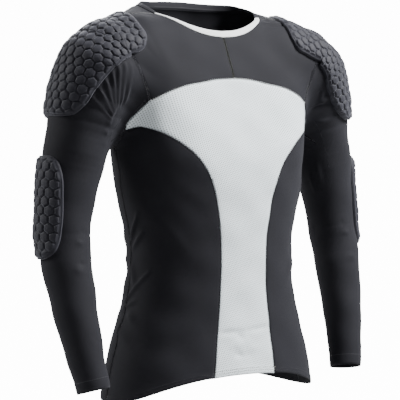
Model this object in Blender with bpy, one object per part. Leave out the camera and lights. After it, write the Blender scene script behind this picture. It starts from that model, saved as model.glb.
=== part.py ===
"""Long-sleeved padded compression shirt, standing in the shape it is worn in.

Metres, Z up. The front faces -Y and the wearer's left arm is on +X. The origin is on the
neck's own axis, level with the highest part of the neckline.
"""
import math

import bmesh
import bpy
import numpy as np
from mathutils import Vector
from mathutils.bvhtree import BVHTree
from mathutils.geometry import delaunay_2d_cdt

# Sizes of the cloth and the pads
JERSEY = 0.0016
MESH_CLOTH = 0.0014
BINDING = 0.0024
# half of the gap between two pieces at a seam
SEAM = 0.00018
# points nearer than this are joined, in a piece of one grid and in the panel of four
WELD = 0.00002
WELD_PANEL = 0.0004
# clear air between a pad and the cloth, then heights over the cloth
PAD_GAP = 0.00080
PAD_RIM = 0.0042
PAD_EDGE = 0.0016
PAD_GROOVE = 0.0042
PAD_TOP = 0.0088
# the raised rim's width, the cells' distance from the edge, and the edge's steps
PAD_LIP = 0.0032
PAD_MARGIN = 0.0055
PAD_STEP = 0.0105
# a cell's width across, and the share of it that is flat on top
CELL = 0.0200
CELL_FLAT = 0.66
# how far round a point the cloth's flat facets are measured, from how high, and the least height
FACET_REACH = 0.0065
RAY_START = 0.012
RAY_LENGTH = 0.024
LOWEST_COVER = -0.0002
CDT_MARGIN = 0.0000001

# Rounding of the trunk's sections, and of its joints with the shoulders and arms
ROUNDNESS = 2.35
SHOULDER_BLEND = 0.028
ARM_BLEND = 0.040
SPINE_TOP = -0.110
SPINE_REACH = 0.120

# The form that fills the shirt
# height, half width, depth in front, depth behind
TRUNK = np.array([
    (0.100, 0.130, 0.120, 0.092),
    (-0.050, 0.174, 0.121, 0.101),
    (-0.150, 0.184, 0.122, 0.112),
    (-0.250, 0.185, 0.124, 0.112),
    (-0.315, 0.178, 0.119, 0.103),
    (-0.430, 0.158, 0.113, 0.083),
    (-0.520, 0.168, 0.112, 0.089),
    (-0.573, 0.184, 0.114, 0.097),
    (-0.635, 0.201, 0.116, 0.104),
    (-0.720, 0.212, 0.117, 0.108),
])
# distance from the middle, height of the shoulder line
SHOULDER_LINE = np.array([
    (0.000, -0.014),
    (0.110, -0.014),
    (0.150, -0.021),
    (0.205, -0.034),
    (0.260, -0.055),
    (0.320, -0.090),
])
# distance behind the shoulder seam, height above the shoulder line
SHOULDER_ARCH = np.array([
    (-0.160, -0.400),
    (-0.130, -0.270),
    (-0.105, -0.196),
    (-0.079, -0.112),
    (-0.047, -0.041),
    (-0.020, -0.010),
    (0.000, 0.000),
    (0.020, 0.010),
    (0.045, 0.016),
    (0.070, 0.007),
    (0.100, -0.027),
    (0.130, -0.095),
    (0.160, -0.190),
])
NAPE_RISE = 0.024
NAPE_WIDTH = 0.090
NAPE_START = 0.065
# arm's centre x, y, z, radius
ARM = np.array([
    (0.160, 0.008, -0.084, 0.055),
    (0.190, 0.006, -0.094, 0.064),
    (0.212, 0.003, -0.114, 0.073),
    (0.236, 0.006, -0.155, 0.069),
    (0.257, 0.010, -0.220, 0.058),
    (0.269, 0.011, -0.265, 0.054),
    (0.278, 0.012, -0.310, 0.050),
    (0.286, 0.010, -0.360, 0.046),
    (0.290, 0.007, -0.400, 0.044),
    (0.2915, -0.001, -0.435, 0.043),
    (0.290, -0.010, -0.470, 0.041),
    (0.287, -0.022, -0.515, 0.038),
    (0.283, -0.034, -0.560, 0.035),
    (0.277, -0.046, -0.606, 0.031),
    (0.271, -0.057, -0.652, 0.028),
])

# Seams on the left half
# neckline's lower edge x, y, z, then the binding's free edge x, y, z
NECK_FRONT = np.array([
    (0.000, -0.047, -0.053, 0.000, -0.041, -0.044),
    (0.030, -0.045, -0.050, 0.029, -0.039, -0.041),
    (0.060, -0.038, -0.042, 0.057, -0.032, -0.034),
    (0.085, -0.026, -0.031, 0.081, -0.021, -0.025),
    (0.102, -0.013, -0.022, 0.096, -0.010, -0.018),
    (0.112, 0.000, -0.015, 0.104, 0.000, -0.014),
])
NECK_BACK = np.array([
    (0.112, 0.000, -0.015, 0.104, 0.000, -0.014),
    (0.120, 0.018, -0.006, 0.112, 0.018, -0.003),
    (0.121, 0.042, 0.001, 0.113, 0.041, 0.005),
    (0.108, 0.063, 0.004, 0.102, 0.060, 0.011),
    (0.074, 0.079, 0.005, 0.072, 0.075, 0.013),
    (0.038, 0.087, 0.006, 0.037, 0.083, 0.015),
    (0.000, 0.090, 0.007, 0.000, 0.086, 0.016),
])
SHOULDER_MIDDLE = (0.155, 0.001, -0.021)
SHOULDER_TIP = (0.207, 0.003, -0.030)
# armhole from the shoulder tip to the top of the pale panel
ARMHOLE_YOKE = np.array([
    SHOULDER_TIP,
    (0.208, -0.028, -0.042),
    (0.205, -0.050, -0.068),
    (0.196, -0.062, -0.096),
    (0.183, -0.066, -0.124),
    (0.172, -0.067, -0.147),
    (0.164, -0.064, -0.168),
])
ARMHOLE_WING = np.array([
    (0.164, -0.064, -0.168),
    (0.172, -0.050, -0.182),
    (0.180, -0.034, -0.196),
    (0.185, -0.018, -0.208),
])
ARMHOLE_SIDE = np.array([
    (0.185, -0.018, -0.208),
    (0.190, -0.010, -0.230),
    (0.193, 0.004, -0.245),
])
ARMHOLE_BACK = np.array([
    (0.193, 0.004, -0.245),
    (0.189, 0.026, -0.230),
    (0.182, 0.050, -0.200),
    (0.179, 0.065, -0.165),
    (0.184, 0.071, -0.125),
    (0.197, 0.063, -0.085),
    (0.206, 0.041, -0.052),
    SHOULDER_TIP,
])
# pale panel's upper edge: distance from the middle, height
WING_TOP = np.array([
    (0.000, -0.128),
    (0.035, -0.130),
    (0.070, -0.136),
    (0.100, -0.141),
    (0.128, -0.150),
    (0.148, -0.159),
    (0.164, -0.168),
])
# pale panel's lower edge from the strip's corner to the armhole
WING_BOTTOM = np.array([
    (0.0665, -0.300),
    (0.080, -0.282),
    (0.095, -0.265),
    (0.119, -0.243),
    (0.138, -0.230),
    (0.156, -0.220),
    (0.174, -0.213),
])
# pale strip's edge: half width, height
STRIP_EDGE = np.array([
    (0.0665, -0.300),
    (0.0580, -0.345),
    (0.0495, -0.400),
    (0.0475, -0.440),
    (0.0490, -0.490),
    (0.0530, -0.540),
    (0.0590, -0.595),
    (0.0640, -0.642),
])
HEM_FRONT = -0.639
HEM_SIDE = -0.684
HEM_BACK = -0.656
HEM_STRIP = 0.0640
# the height where the hem's outline is read, and how late the hem dips towards the sides
HEM_SECTION = -0.680
HEM_DIP = 2.6

# Samples along each seam
N_STRIP = 4
N_WING = 8
N_NECK = 7
N_SHOULDER = 5
N_NAPE = 8
N_YOKE = 8
N_ARM_SIDE = 3
N_ARM_BACK = 9
N_SIDE = 14
N_WING_ROWS = 5
N_SLEEVE = 19
# the first sleeve ring that is round, and the rings until its points are even
ROUND_RING = 5
EVEN_RINGS = 6.0
# middle of the sleeve's first rings: x, y, z
SLEEVE_START = np.array([
    (0.190, 0.000, -0.135),
    (0.222, 0.004, -0.165),
    (0.247, 0.008, -0.205),
])
SLEEVE_ARM_ROW = 5

# Folds, on the left half
# start x, y, z, end x, y, z, half width, height (below 0 is a trough), side (0 both)
FOLDS = np.array([
    (0.262, -0.045, -0.150, 0.176, -0.078, -0.205, 0.010, 0.0050, -1),
    (0.240, -0.062, -0.125, 0.172, -0.080, -0.190, 0.009, 0.0045, -1),
    (0.215, -0.070, -0.110, 0.168, -0.080, -0.178, 0.009, 0.0040, -1),
    (0.285, -0.030, -0.200, 0.180, -0.070, -0.222, 0.010, 0.0045, -1),
    (0.250, -0.050, -0.140, 0.180, -0.075, -0.190, 0.010, 0.0035, 1),
    (0.285, -0.030, -0.190, 0.185, -0.070, -0.215, 0.011, 0.0040, 1),
    (0.225, 0.075, -0.120, 0.168, 0.075, -0.195, 0.012, 0.0045, 0),
    (0.265, 0.060, -0.165, 0.175, 0.066, -0.215, 0.011, 0.0040, 0),
    (0.160, -0.030, -0.330, 0.095, -0.100, -0.450, 0.014, 0.0040, -1),
    (0.165, -0.020, -0.470, 0.090, -0.095, -0.420, 0.013, 0.0040, -1),
    (0.160, -0.030, -0.420, 0.100, -0.098, -0.480, 0.013, 0.0035, 1),
    (0.160, 0.030, -0.400, 0.040, 0.096, -0.450, 0.016, 0.0050, 0),
    (0.162, 0.030, -0.470, 0.060, 0.098, -0.430, 0.015, -0.0045, 0),
    (0.280, -0.030, -0.385, 0.262, 0.005, -0.420, 0.010, -0.0040, 0),
    (0.300, -0.050, -0.450, 0.262, -0.020, -0.470, 0.011, 0.0035, 0),
])

# Foam pads
# inside point x, y, z, then the way out at the pad's middle line x, y, z
SHOULDER_STATIONS = np.array([
    (0.146, 0.006, -0.095, 0.00, -0.45, 0.90),
    (0.176, 0.006, -0.105, 0.05, -0.45, 0.89),
    (0.192, 0.005, -0.120, 0.40, -0.50, 0.77),
    (0.202, 0.005, -0.132, 0.68, -0.52, 0.52),
    (0.216, 0.005, -0.146, 0.83, -0.50, 0.26),
    (0.236, 0.007, -0.180, 0.86, -0.47, 0.20),
    (0.254, 0.010, -0.225, 0.87, -0.45, 0.18),
])
ELBOW_STATIONS = np.array([
    (0.264, 0.011, -0.245, 0.95, 0.26, 0.20),
    (0.278, 0.012, -0.310, 0.95, 0.26, 0.17),
    (0.286, 0.010, -0.360, 0.96, 0.26, 0.12),
    (0.290, 0.007, -0.400, 0.97, 0.26, 0.05),
    (0.2915, -0.001, -0.435, 0.97, 0.26, 0.0),
    (0.290, -0.010, -0.470, 0.97, 0.24, -0.08),
])
# how far round the chart reaches each way, and from its inside points outward
SPREAD = 2.0
CHART_REACH = 0.16
# pad outlines in mm: along the chart, round it to the front
SHOULDER_BACK = [
    (258, -76), (248, -86), (225, -97), (174, -108),
    (103, -116), (47, -116), (28, -108), (20, -92),
]
SHOULDER_RIGHT = [
    (22, -60), (23, -28), (23, 16), (20, 40), (28, 55),
    (47, 61), (75, 58), (103, 54), (140, 50), (174, 44),
    (205, 37), (235, 29), (252, 16), (258, -5), (258, -40),
]
SHOULDER_LEFT = [
    (8, -60), (4, -28), (3, 10), (3, 38), (10, 54), (28, 58),
    (52, 61), (89, 62), (116, 68), (150, 76), (185, 78), (215, 72),
    (240, 58), (254, 38), (259, 10), (259, -40),
]
ELBOW_FRONT = [
    (27, 12), (29, 32), (36, 45), (49, 52), (66, 56), (91, 57),
    (119, 57), (148, 55), (172, 50), (187, 42), (198, 27), (203, 9),
]
ELBOW = ELBOW_FRONT + [(p, -q) for p, q in reversed(ELBOW_FRONT)]

# Colour and roughness
BLACK_JERSEY = ((0.020, 0.020, 0.023), 0.75)
PALE_MESH = ((0.70, 0.74, 0.75), 0.80)
PALE_BINDING = ((0.78, 0.78, 0.79), 0.75)
PAD_COVER = ((0.026, 0.026, 0.030), 0.60)


def eased(table, column, at):
    """Smooth value of one column of a table, read along its first column."""
    order = np.argsort(table[:, 0])
    x = table[order, 0]
    y = table[order, column]
    slope = np.gradient(y, x)
    at = np.clip(at, x[0], x[-1])
    i = np.clip(np.searchsorted(x, at) - 1, 0, len(x) - 2)
    step = x[i + 1] - x[i]
    t = (at - x[i]) / step
    return (y[i] * (1 + 2 * t) * (1 - t) ** 2 + y[i + 1] * t * t * (3 - 2 * t)
            + slope[i] * step * t * (1 - t) ** 2 - slope[i + 1] * step * t * t * (1 - t))


def along(points, count):
    """count + 1 evenly spaced points of a smooth curve through rows of x, y, z or x, z."""
    points = np.asarray(points, float)
    span = np.linalg.norm(np.diff(points, axis=0), axis=1)
    where = np.concatenate([[0.0], np.cumsum(span)])
    table = np.column_stack([where, points])
    fine = np.linspace(0.0, where[-1], 201)
    curve = np.column_stack([eased(table, k + 1, fine) for k in range(points.shape[1])])
    length = np.concatenate([[0.0], np.cumsum(np.linalg.norm(np.diff(curve, axis=0), axis=1))])
    at = np.linspace(0.0, length[-1], count + 1)
    return np.column_stack([np.interp(at, length, curve[:, k]) for k in range(curve.shape[1])])


def smooth_max(a, b, reach):
    """The larger of two values, rounded where they are nearly the same."""
    near = np.maximum(reach - np.abs(a - b), 0.0) / reach
    return np.maximum(a, b) + near * near * reach / 4


ARM_FINE = along(ARM, 26)


def arm_distance(p):
    """Distance outside the tapered arm, by its nearest short length."""
    start = ARM_FINE[:-1, :3]
    run = ARM_FINE[1:, :3] - start
    to = p[:, None, :] - start[None]
    t = np.clip((to * run[None]).sum(2) / (run * run).sum(1)[None], 0.0, 1.0)
    gap = np.linalg.norm(to - t[:, :, None] * run[None], axis=2)
    radius = ARM_FINE[:-1, 3] + t * (ARM_FINE[1:, 3] - ARM_FINE[:-1, 3])
    return (gap - radius).min(axis=1)


def form(p):
    """Below 0 inside the worn shape, above 0 outside it, about a distance near its face."""
    x = np.abs(p[:, 0])
    y = p[:, 1]
    z = p[:, 2]
    wide = eased(TRUNK, 1, z)
    deep = np.where(y < 0, eased(TRUNK, 2, z), eased(TRUNK, 3, z))
    ratio = ((x / wide) ** ROUNDNESS + (np.abs(y) / deep) ** ROUNDNESS) ** (1 / ROUNDNESS)
    wall = np.hypot(x, y) * (1 - 1 / np.maximum(ratio, 1e-6))
    rise = NAPE_RISE * np.exp(-(x / NAPE_WIDTH) ** 2) * np.clip(y / NAPE_START, 0, 1) ** 2
    top = eased(SHOULDER_LINE, 1, x) + eased(SHOULDER_ARCH, 1, y) + rise
    slope = (eased(SHOULDER_ARCH, 1, y + 0.002) - eased(SHOULDER_ARCH, 1, y - 0.002)) / 0.004
    steep = np.hypot(1.0, slope)
    trunk = smooth_max(wall, (z - top) / steep, SHOULDER_BLEND)
    arm = arm_distance(np.column_stack([x, y, z]))
    return -smooth_max(-trunk, -arm, ARM_BLEND)


def outward(p, step=0.0008):
    """Directions straight out of the form at these points, about unit length."""
    slope = np.empty_like(p)
    for axis in range(3):
        move = np.zeros(3)
        move[axis] = step
        slope[:, axis] = (form(p + move) - form(p - move)) / (2 * step)
    return slope


def settle(points):
    """Points moved onto the form by the shortest way."""
    shape = np.shape(points)
    p = np.array(points, float).reshape(-1, 3)
    for _ in range(9):
        slope = outward(p)
        p -= np.clip(form(p) / (slope * slope).sum(1), -0.03, 0.03)[:, None] * slope
    return p.reshape(shape)


def face_point(x, z, front=True):
    """The point of the form's front or back at this x and z."""
    x = np.asarray(x, float)
    z = np.asarray(z, float)
    inside = np.zeros_like(x)
    outside = np.full_like(x, -0.2 if front else 0.2)
    for _ in range(40):
        middle = (inside + outside) / 2
        within = form(np.column_stack([x, middle, z])) < 0
        inside = np.where(within, middle, inside)
        outside = np.where(within, outside, middle)
    return np.column_stack([x, inside, z])


def side_point(y, z):
    """The point of the form's left side at this y and z."""
    y = np.asarray(y, float)
    z = np.asarray(z, float)
    wide = eased(TRUNK, 1, z)
    deep = np.where(y < 0, eased(TRUNK, 2, z), eased(TRUNK, 3, z))
    inside = np.zeros_like(y)
    outside = np.full_like(y, 0.24)
    for _ in range(40):
        middle = (inside + outside) / 2
        ratio = (middle / wide) ** ROUNDNESS + (np.abs(y) / deep) ** ROUNDNESS
        inside = np.where(ratio < 1, middle, inside)
        outside = np.where(ratio < 1, outside, middle)
    return np.column_stack([inside, y, z])


def fold_height(p, side):
    """How far the cloth's folds stand off the form at these points."""
    height = np.zeros(len(p))
    q = np.column_stack([np.abs(p[:, 0]), p[:, 1], p[:, 2]])
    for row in FOLDS:
        if row[8] not in (0, side):
            continue
        start = row[0:3]
        run = row[3:6] - start
        t = np.clip(((q - start) @ run) / (run @ run), 0.0, 1.0)
        off = np.linalg.norm(q - start - t[:, None] * run, axis=1)
        fade = np.sin(math.pi * (0.12 + 0.76 * t))
        height += row[7] * fade * np.exp(-(off / row[6]) ** 2)
    return height


def lifted(base):
    """Outer points of the cloth and the form's outward directions at them."""
    p = base.reshape(-1, 3)
    direction = outward(p)
    direction /= np.linalg.norm(direction, axis=1)[:, None]
    right = fold_height(p, -1)
    left = fold_height(p, 1)
    mix = np.clip(0.5 + p[:, 0] / 0.04, 0.0, 1.0)
    outer = p + (right * (1 - mix) + left * mix)[:, None] * direction
    return outer.reshape(base.shape), direction.reshape(base.shape)


def mirrored(points):
    """The same points on the other side of the middle."""
    flipped = np.array(points, float)
    flipped[..., 0] *= -1
    return flipped


def to_turns(p, front):
    """Turn about the spine, height or lift over its top, and reach from it."""
    y = -p[..., 1] if front else p[..., 1]
    across = np.hypot(p[..., 0], y)
    rise = p[..., 2] - SPINE_TOP
    lift = np.where(rise > 0, SPINE_REACH * np.arctan2(rise, across), rise)
    reach = np.where(rise > 0, np.hypot(across, rise), across)
    return np.stack([np.arctan2(p[..., 0], y), lift, reach], axis=-1)


def from_turns(q, front):
    """Points in space from turn, lift and reach."""
    tilt = np.maximum(q[..., 1], 0) / SPINE_REACH
    across = q[..., 2] * np.cos(tilt)
    z = SPINE_TOP + np.where(q[..., 1] > 0, q[..., 2] * np.sin(tilt), q[..., 1])
    y = across * np.cos(q[..., 0])
    return np.stack([across * np.sin(q[..., 0]), -y if front else y, z], axis=-1)


def blend(left, right, bottom, top, front=True):
    """Grid of points between four seam curves, laid on the form."""
    sides = [np.array(side) for side in (left, right, bottom, top)]
    left, right, bottom, top = (to_turns(side, front) for side in sides)
    rows = len(left)
    cols = len(bottom)
    v = np.linspace(0, 1, rows)[:, None, None]
    u = np.linspace(0, 1, cols)[None, :, None]
    grid = (1 - v) * bottom[None] + v * top[None] + (1 - u) * left[:, None] + u * right[:, None]
    grid -= (1 - v) * ((1 - u) * bottom[0] + u * bottom[-1])
    grid -= v * ((1 - u) * top[0] + u * top[-1])
    flat = grid.reshape(-1, 3)
    for _ in range(14):
        flat[:, 2] -= 0.7 * np.maximum(form(from_turns(flat, front)), 0.0)
    grid = settle(from_turns(flat.reshape(grid.shape), front))
    grid[:, 0], grid[:, -1], grid[0], grid[-1] = sides
    return grid


def inset(grid, sides="lrbt"):
    """Grid with its chosen edges drawn back from the seams."""
    moved = np.array(grid)
    edges = {"l": (np.s_[:, 0], np.s_[:, 1]), "r": (np.s_[:, -1], np.s_[:, -2]),
             "b": (np.s_[0], np.s_[1]), "t": (np.s_[-1], np.s_[-2])}
    for side in sides:
        edge, beside = edges[side]
        away = grid[beside] - grid[edge]
        line = np.gradient(grid[edge], axis=0)
        line /= np.maximum(np.linalg.norm(line, axis=1), 1e-9)[:, None]
        away -= (away * line).sum(1)[:, None] * line
        moved[edge] += SEAM * away / np.maximum(np.linalg.norm(away, axis=-1), 1e-9)[..., None]
    return moved


def cloth(name, grids, wall, finish, sides=None, weld=WELD):
    """One piece of cloth: its outer points, and the same points moved in by the wall."""
    bm = bmesh.new()
    depth = bm.verts.layers.float_vector.new("inward")
    for k, base in enumerate(grids):
        outer, direction = lifted(base)
        outer = inset(outer, sides[k] if sides else "lrbt")
        rows, cols = base.shape[:2]
        made = bmesh.ops.create_grid(bm, x_segments=cols - 1, y_segments=rows - 1, size=1.0)
        for vert in made["verts"]:
            i = round((vert.co.x + 1) / 2 * (cols - 1))
            j = round((vert.co.y + 1) / 2 * (rows - 1))
            vert.co = outer[j, i]
            vert[depth] = -wall * direction[j, i]
    bmesh.ops.remove_doubles(bm, verts=bm.verts, dist=weld)
    thicken(bm, depth)
    return finish_node(name, bm, finish)


def thicken(bm, depth):
    """Give a skin its wall, by each point's own inward step."""
    made = bmesh.ops.extrude_face_region(bm, geom=list(bm.faces))
    for item in made["geom"]:
        if isinstance(item, bmesh.types.BMVert):
            item.co += item[depth]
    bmesh.ops.recalc_face_normals(bm, faces=bm.faces)
    if bm.calc_volume(signed=True) < 0:
        bmesh.ops.reverse_faces(bm, faces=bm.faces)


def finish_node(name, bm, finish):
    """One named object with its own material."""
    mesh = bpy.data.meshes.new(name)
    bm.to_mesh(mesh)
    bm.free()
    obj = bpy.data.objects.new(name, mesh)
    PARTS.objects.link(obj)
    colour, rough = finish
    material = bpy.data.materials.new(name)
    material.use_nodes = True
    shader = material.node_tree.nodes["Principled BSDF"]
    shader.inputs["Base Color"].default_value = (*colour, 1.0)
    shader.inputs["Roughness"].default_value = rough
    shader.inputs["Metallic"].default_value = 0.0
    material.diffuse_color = (*colour, 1.0)
    mesh.materials.append(material)
    return obj


for old in list(bpy.data.objects):
    bpy.data.objects.remove(old, do_unlink=True)
PARTS = bpy.data.collections.new("padded_compression_shirt")
bpy.context.scene.collection.children.link(PARTS)

# Shared seam points, left half
neck_front = settle(along(NECK_FRONT[:, :3], N_NECK))
neck_back = settle(along(NECK_BACK[:, :3], N_NAPE))
shoulder = settle(along([NECK_FRONT[-1, :3], SHOULDER_MIDDLE, SHOULDER_TIP], N_SHOULDER))
arm_yoke = settle(along(ARMHOLE_YOKE, N_YOKE))
arm_wing = settle(along(ARMHOLE_WING, N_WING_ROWS))
arm_side = settle(along(ARMHOLE_SIDE, N_ARM_SIDE))
arm_back = settle(along(ARMHOLE_BACK, N_ARM_BACK))
shoulder[0] = neck_front[-1]
neck_back[0] = neck_front[-1]
arm_yoke[0] = shoulder[-1]
arm_back[-1] = shoulder[-1]
arm_back[0] = arm_side[-1]
arm_wing[0] = arm_yoke[-1]
arm_wing[-1] = arm_side[0]

arc = along(WING_TOP, 60)
cut = np.argmin(np.abs(arc[:, 0] - STRIP_EDGE[0, 0]))
arc_strip = along(arc[:cut + 1], N_STRIP)
arc_wing = along(arc[cut:], N_WING)
arc_strip = face_point(arc_strip[:, 0], arc_strip[:, 1])
arc_wing = face_point(arc_wing[:, 0], arc_wing[:, 1])
arc_wing[-1] = arm_yoke[-1]
arc_all = np.vstack([arc_strip, arc_wing[1:]])

wing_low = along(WING_BOTTOM, 40)
wing_low = face_point(wing_low[:, 0], wing_low[:, 1])
wing_low = settle(along(np.vstack([wing_low, arm_side[:1]]), N_WING))
wing_low[-1] = arm_side[0]

strip_edge = along(STRIP_EDGE, N_SIDE)
strip_edge = face_point(strip_edge[:, 0], strip_edge[:, 1])
centre_z = np.linspace(WING_TOP[0, 1], NECK_FRONT[0, 2], N_YOKE + 1)
centre_seam = face_point(np.zeros(N_YOKE + 1), centre_z)
centre_seam[-1] = neck_front[0]
side_z = np.linspace(ARMHOLE_SIDE[-1, 2], HEM_SIDE, N_SIDE + 1)
side_seam = side_point(np.full(N_SIDE + 1, ARMHOLE_SIDE[-1, 1]), side_z)
side_seam[0] = arm_side[-1]
side_seam[1:] = settle(side_seam[1:])


def hem_points(start_x, count, front):
    """Hem from start_x to the side seam."""
    turn = np.linspace(0, 1, 101)
    wide = eased(TRUNK, 1, np.full(101, HEM_SIDE))
    angle0 = math.acos(min(start_x / wide[0], 1.0))
    angle = angle0 * (1 - turn)
    deep = eased(TRUNK, 2 if front else 3, np.full(101, HEM_SECTION))
    power = 2 / ROUNDNESS
    x = wide * np.cos(angle) ** power
    y = deep * np.sin(angle) ** power
    middle = HEM_FRONT if front else HEM_BACK
    z = middle + (HEM_SIDE - middle) * (x / wide) ** HEM_DIP
    curve = np.column_stack([x, -y if front else y, z])
    return along(settle(curve), count)


hem_side_front = hem_points(HEM_STRIP, N_WING + N_ARM_SIDE, True)
hem_side_front[0] = strip_edge[-1]
hem_side_front[-1] = side_seam[-1]
hem_x = np.linspace(0.0, HEM_STRIP, N_STRIP + 1)
hem_dip = (strip_edge[-1, 2] - HEM_FRONT) * (hem_x / HEM_STRIP) ** 2
hem_strip = face_point(hem_x, HEM_FRONT + hem_dip)
hem_strip[-1] = strip_edge[-1]
hem_back = hem_points(0.0, N_NAPE, False)
hem_back[-1] = side_seam[-1]

# Cloth pieces
inner_wing = face_point(np.linspace(strip_edge[0, 0], arc_wing[0, 0], N_WING_ROWS + 1),
                        np.linspace(strip_edge[0, 2], arc_wing[0, 2], N_WING_ROWS + 1))
outer_wing = arm_wing[::-1]
strip_side = np.vstack([strip_edge[::-1], inner_wing[1:]])
strip_half_low = np.vstack([mirrored(hem_strip)[::-1], hem_strip[1:]])
strip_half_top = np.vstack([mirrored(arc_strip)[::-1], arc_strip[1:]])
strip_grid = blend(mirrored(strip_side), strip_side, strip_half_low, strip_half_top)
wing_left = blend(inner_wing, outer_wing, wing_low, arc_wing)
wing_right = mirrored(wing_left)

for sign, word in ((1, "left"), (-1, "right")):
    flip = (lambda g: g) if sign > 0 else mirrored
    yoke = blend(centre_seam, arm_yoke[::-1], arc_all, np.vstack([neck_front, shoulder[1:]]))
    cloth(f"front_yoke_{word}", [flip(yoke)], JERSEY, BLACK_JERSEY)
    top = np.vstack([wing_low, arm_side[1:]])
    side = blend(strip_edge[::-1], side_seam[::-1], hem_side_front, top)
    cloth(f"side_front_{word}", [flip(side)], JERSEY, BLACK_JERSEY)

strip_low = strip_grid[:N_SIDE + 1]
strip_high = strip_grid[N_SIDE:]
cloth("front_mesh_panel", [strip_low, strip_high, wing_left, wing_right],
      MESH_CLOTH, PALE_MESH, ["lrb", "t", "rbt", "rbt"], WELD_PANEL)

back_side = np.vstack([side_seam[::-1], arm_back[1:], shoulder[::-1][1:]])
back_top = np.vstack([mirrored(neck_back), neck_back[::-1][1:]])
back_low = np.vstack([mirrored(hem_back)[::-1], hem_back[1:]])
back_grid = blend(mirrored(back_side), back_side, back_low, back_top, False)
cloth("back_panel", [back_grid], JERSEY, BLACK_JERSEY)

# Sleeves
armhole = np.vstack([arm_yoke, arm_wing[1:], arm_side[1:], arm_back[1:]])
sleeve_path = along(np.vstack([SLEEVE_START, ARM[SLEEVE_ARM_ROW:, :3]]), N_SLEEVE)
hub = armhole.mean(axis=0)
sleeve_path[0] = hub
reach = eased(ARM[:, [2, 3]], 1, sleeve_path[:, 2])
tangent = np.gradient(sleeve_path, axis=0)
tangent /= np.linalg.norm(tangent, axis=1)[:, None]
up = np.array(SHOULDER_TIP) - hub
spokes = armhole - hub
ahead = tangent[ROUND_RING]
across = up - (up @ ahead) * ahead
across /= np.linalg.norm(across)
forward = np.cross(ahead, across)
turn = np.unwrap(np.arctan2(spokes @ forward, spokes @ across))
even = np.linspace(turn[0], turn[0] + 2 * math.pi * np.sign(turn[-1] - turn[0]), len(turn))
turn[-1] = even[-1]
sleeve_rings = []
for k in range(N_SLEEVE + 1):
    u_dir = across - (across @ tangent[k]) * tangent[k]
    u_dir /= np.linalg.norm(u_dir)
    v_dir = np.cross(tangent[k], u_dir)
    mix = min(max((k - ROUND_RING) / EVEN_RINGS, 0.0), 1.0)
    angle = turn * (1 - mix) + even * mix
    ring = reach[k] * (np.cos(angle)[:, None] * u_dir + np.sin(angle)[:, None] * v_dir)
    share = min(k / ROUND_RING, 1.0)
    share = share * share * (3 - 2 * share)
    sleeve_rings.append(sleeve_path[k] + spokes * (1 - share) + ring * share)
sleeve_grid = np.array(sleeve_rings)
sleeve_grid[1:] = settle(sleeve_grid[1:])
sleeve_grid[0] = armhole
sleeve_grid[:, -1] = sleeve_grid[:, 0]
for sign, word in ((1, "left"), (-1, "right")):
    flip = (lambda g: g) if sign > 0 else mirrored
    cloth(f"sleeve_{word}", [flip(sleeve_grid)], JERSEY, BLACK_JERSEY, ["b"])

# Neck bindings
for name, table, count, low, finish in (
        ("neck_binding_front", NECK_FRONT, N_NECK, neck_front, PALE_BINDING),
        ("neck_binding_back", NECK_BACK, N_NAPE, neck_back, BLACK_JERSEY)):
    free = settle(along(table[:, 3:], count))
    half = np.array([low, (low + free) / 2, free])
    whole = np.concatenate([mirrored(half)[:, ::-1], half[:, 1:]], axis=1)
    if name == "neck_binding_back":
        whole = np.concatenate([half, mirrored(half)[:, ::-1][:, 1:]], axis=1)
    cloth(name, [whole], BINDING, finish, ["lrb"])


class Chart:
    """Flat sizes on a bent tube: p runs along its middle line and q round it to the front."""

    def __init__(self, stations):
        path = along(stations, 30)
        turn = np.linspace(-SPREAD, SPREAD, 61)
        rows = []
        tangent = np.gradient(path[:, :3], axis=0)
        for start, ahead in zip(path, tangent):
            out = start[3:] / np.linalg.norm(start[3:])
            front = np.cross(out, np.cross(np.array([0.0, -1.0, 0.0]), out))
            front /= np.linalg.norm(front)
            way = np.cos(turn)[:, None] * out + np.sin(turn)[:, None] * front
            near = np.zeros(len(turn))
            far = np.full(len(turn), CHART_REACH)
            for _ in range(24):
                middle = (near + far) / 2
                within = form(start[:3] + middle[:, None] * way) < 0
                near = np.where(within, middle, near)
                far = np.where(within, far, middle)
            rows.append(start[:3] + near[:, None] * way)
        self.grid = np.array(rows)
        centre = len(turn) // 2
        steps = np.linalg.norm(np.diff(self.grid[:, centre], axis=0), axis=1)
        self.p = np.concatenate([[0.0], np.cumsum(steps)])
        arc = np.linalg.norm(np.diff(self.grid, axis=1), axis=2)
        arc = np.concatenate([np.zeros((len(path), 1)), np.cumsum(arc, axis=1)], axis=1)
        self.q = arc - arc[:, centre:centre + 1]

    def place(self, flat):
        """Points of the form at these p, q."""
        flat = np.asarray(flat, float)
        at = np.interp(flat[:, 0], self.p, np.arange(len(self.p)))
        low = np.clip(at.astype(int), 0, len(self.p) - 2)
        share = (at - low)[:, None]
        points = np.zeros((len(flat), 3))
        for row in range(len(self.p)):
            for pick, weight in ((low == row, 1 - share), (low + 1 == row, share)):
                if pick.any():
                    around = self.q[row]
                    spot = [np.interp(flat[pick, 1], around, self.grid[row, :, k]) for k in range(3)]
                    points[pick] += weight[pick] * np.column_stack(spot)
        return settle(points)


def depth_inside(points, loop):
    """Distance of flat points inside a closed loop, below 0 outside it."""
    start = loop[None]
    run = np.roll(loop, -1, axis=0)[None] - start
    to = points[:, None] - start
    t = np.clip((to * run).sum(2) / (run * run).sum(2), 0.0, 1.0)
    away = np.linalg.norm(to - t[:, :, None] * run, axis=2).min(axis=1)
    rises = (to[:, :, 1] >= 0) != (to[:, :, 1] - run[:, :, 1] >= 0)
    climb = np.where(run[:, :, 1] == 0, 1e-12, run[:, :, 1])
    crossing = rises & (to[:, :, 0] < to[:, :, 1] / climb * run[:, :, 0])
    return np.where(crossing.sum(axis=1) % 2 == 1, away, -away)


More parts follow.
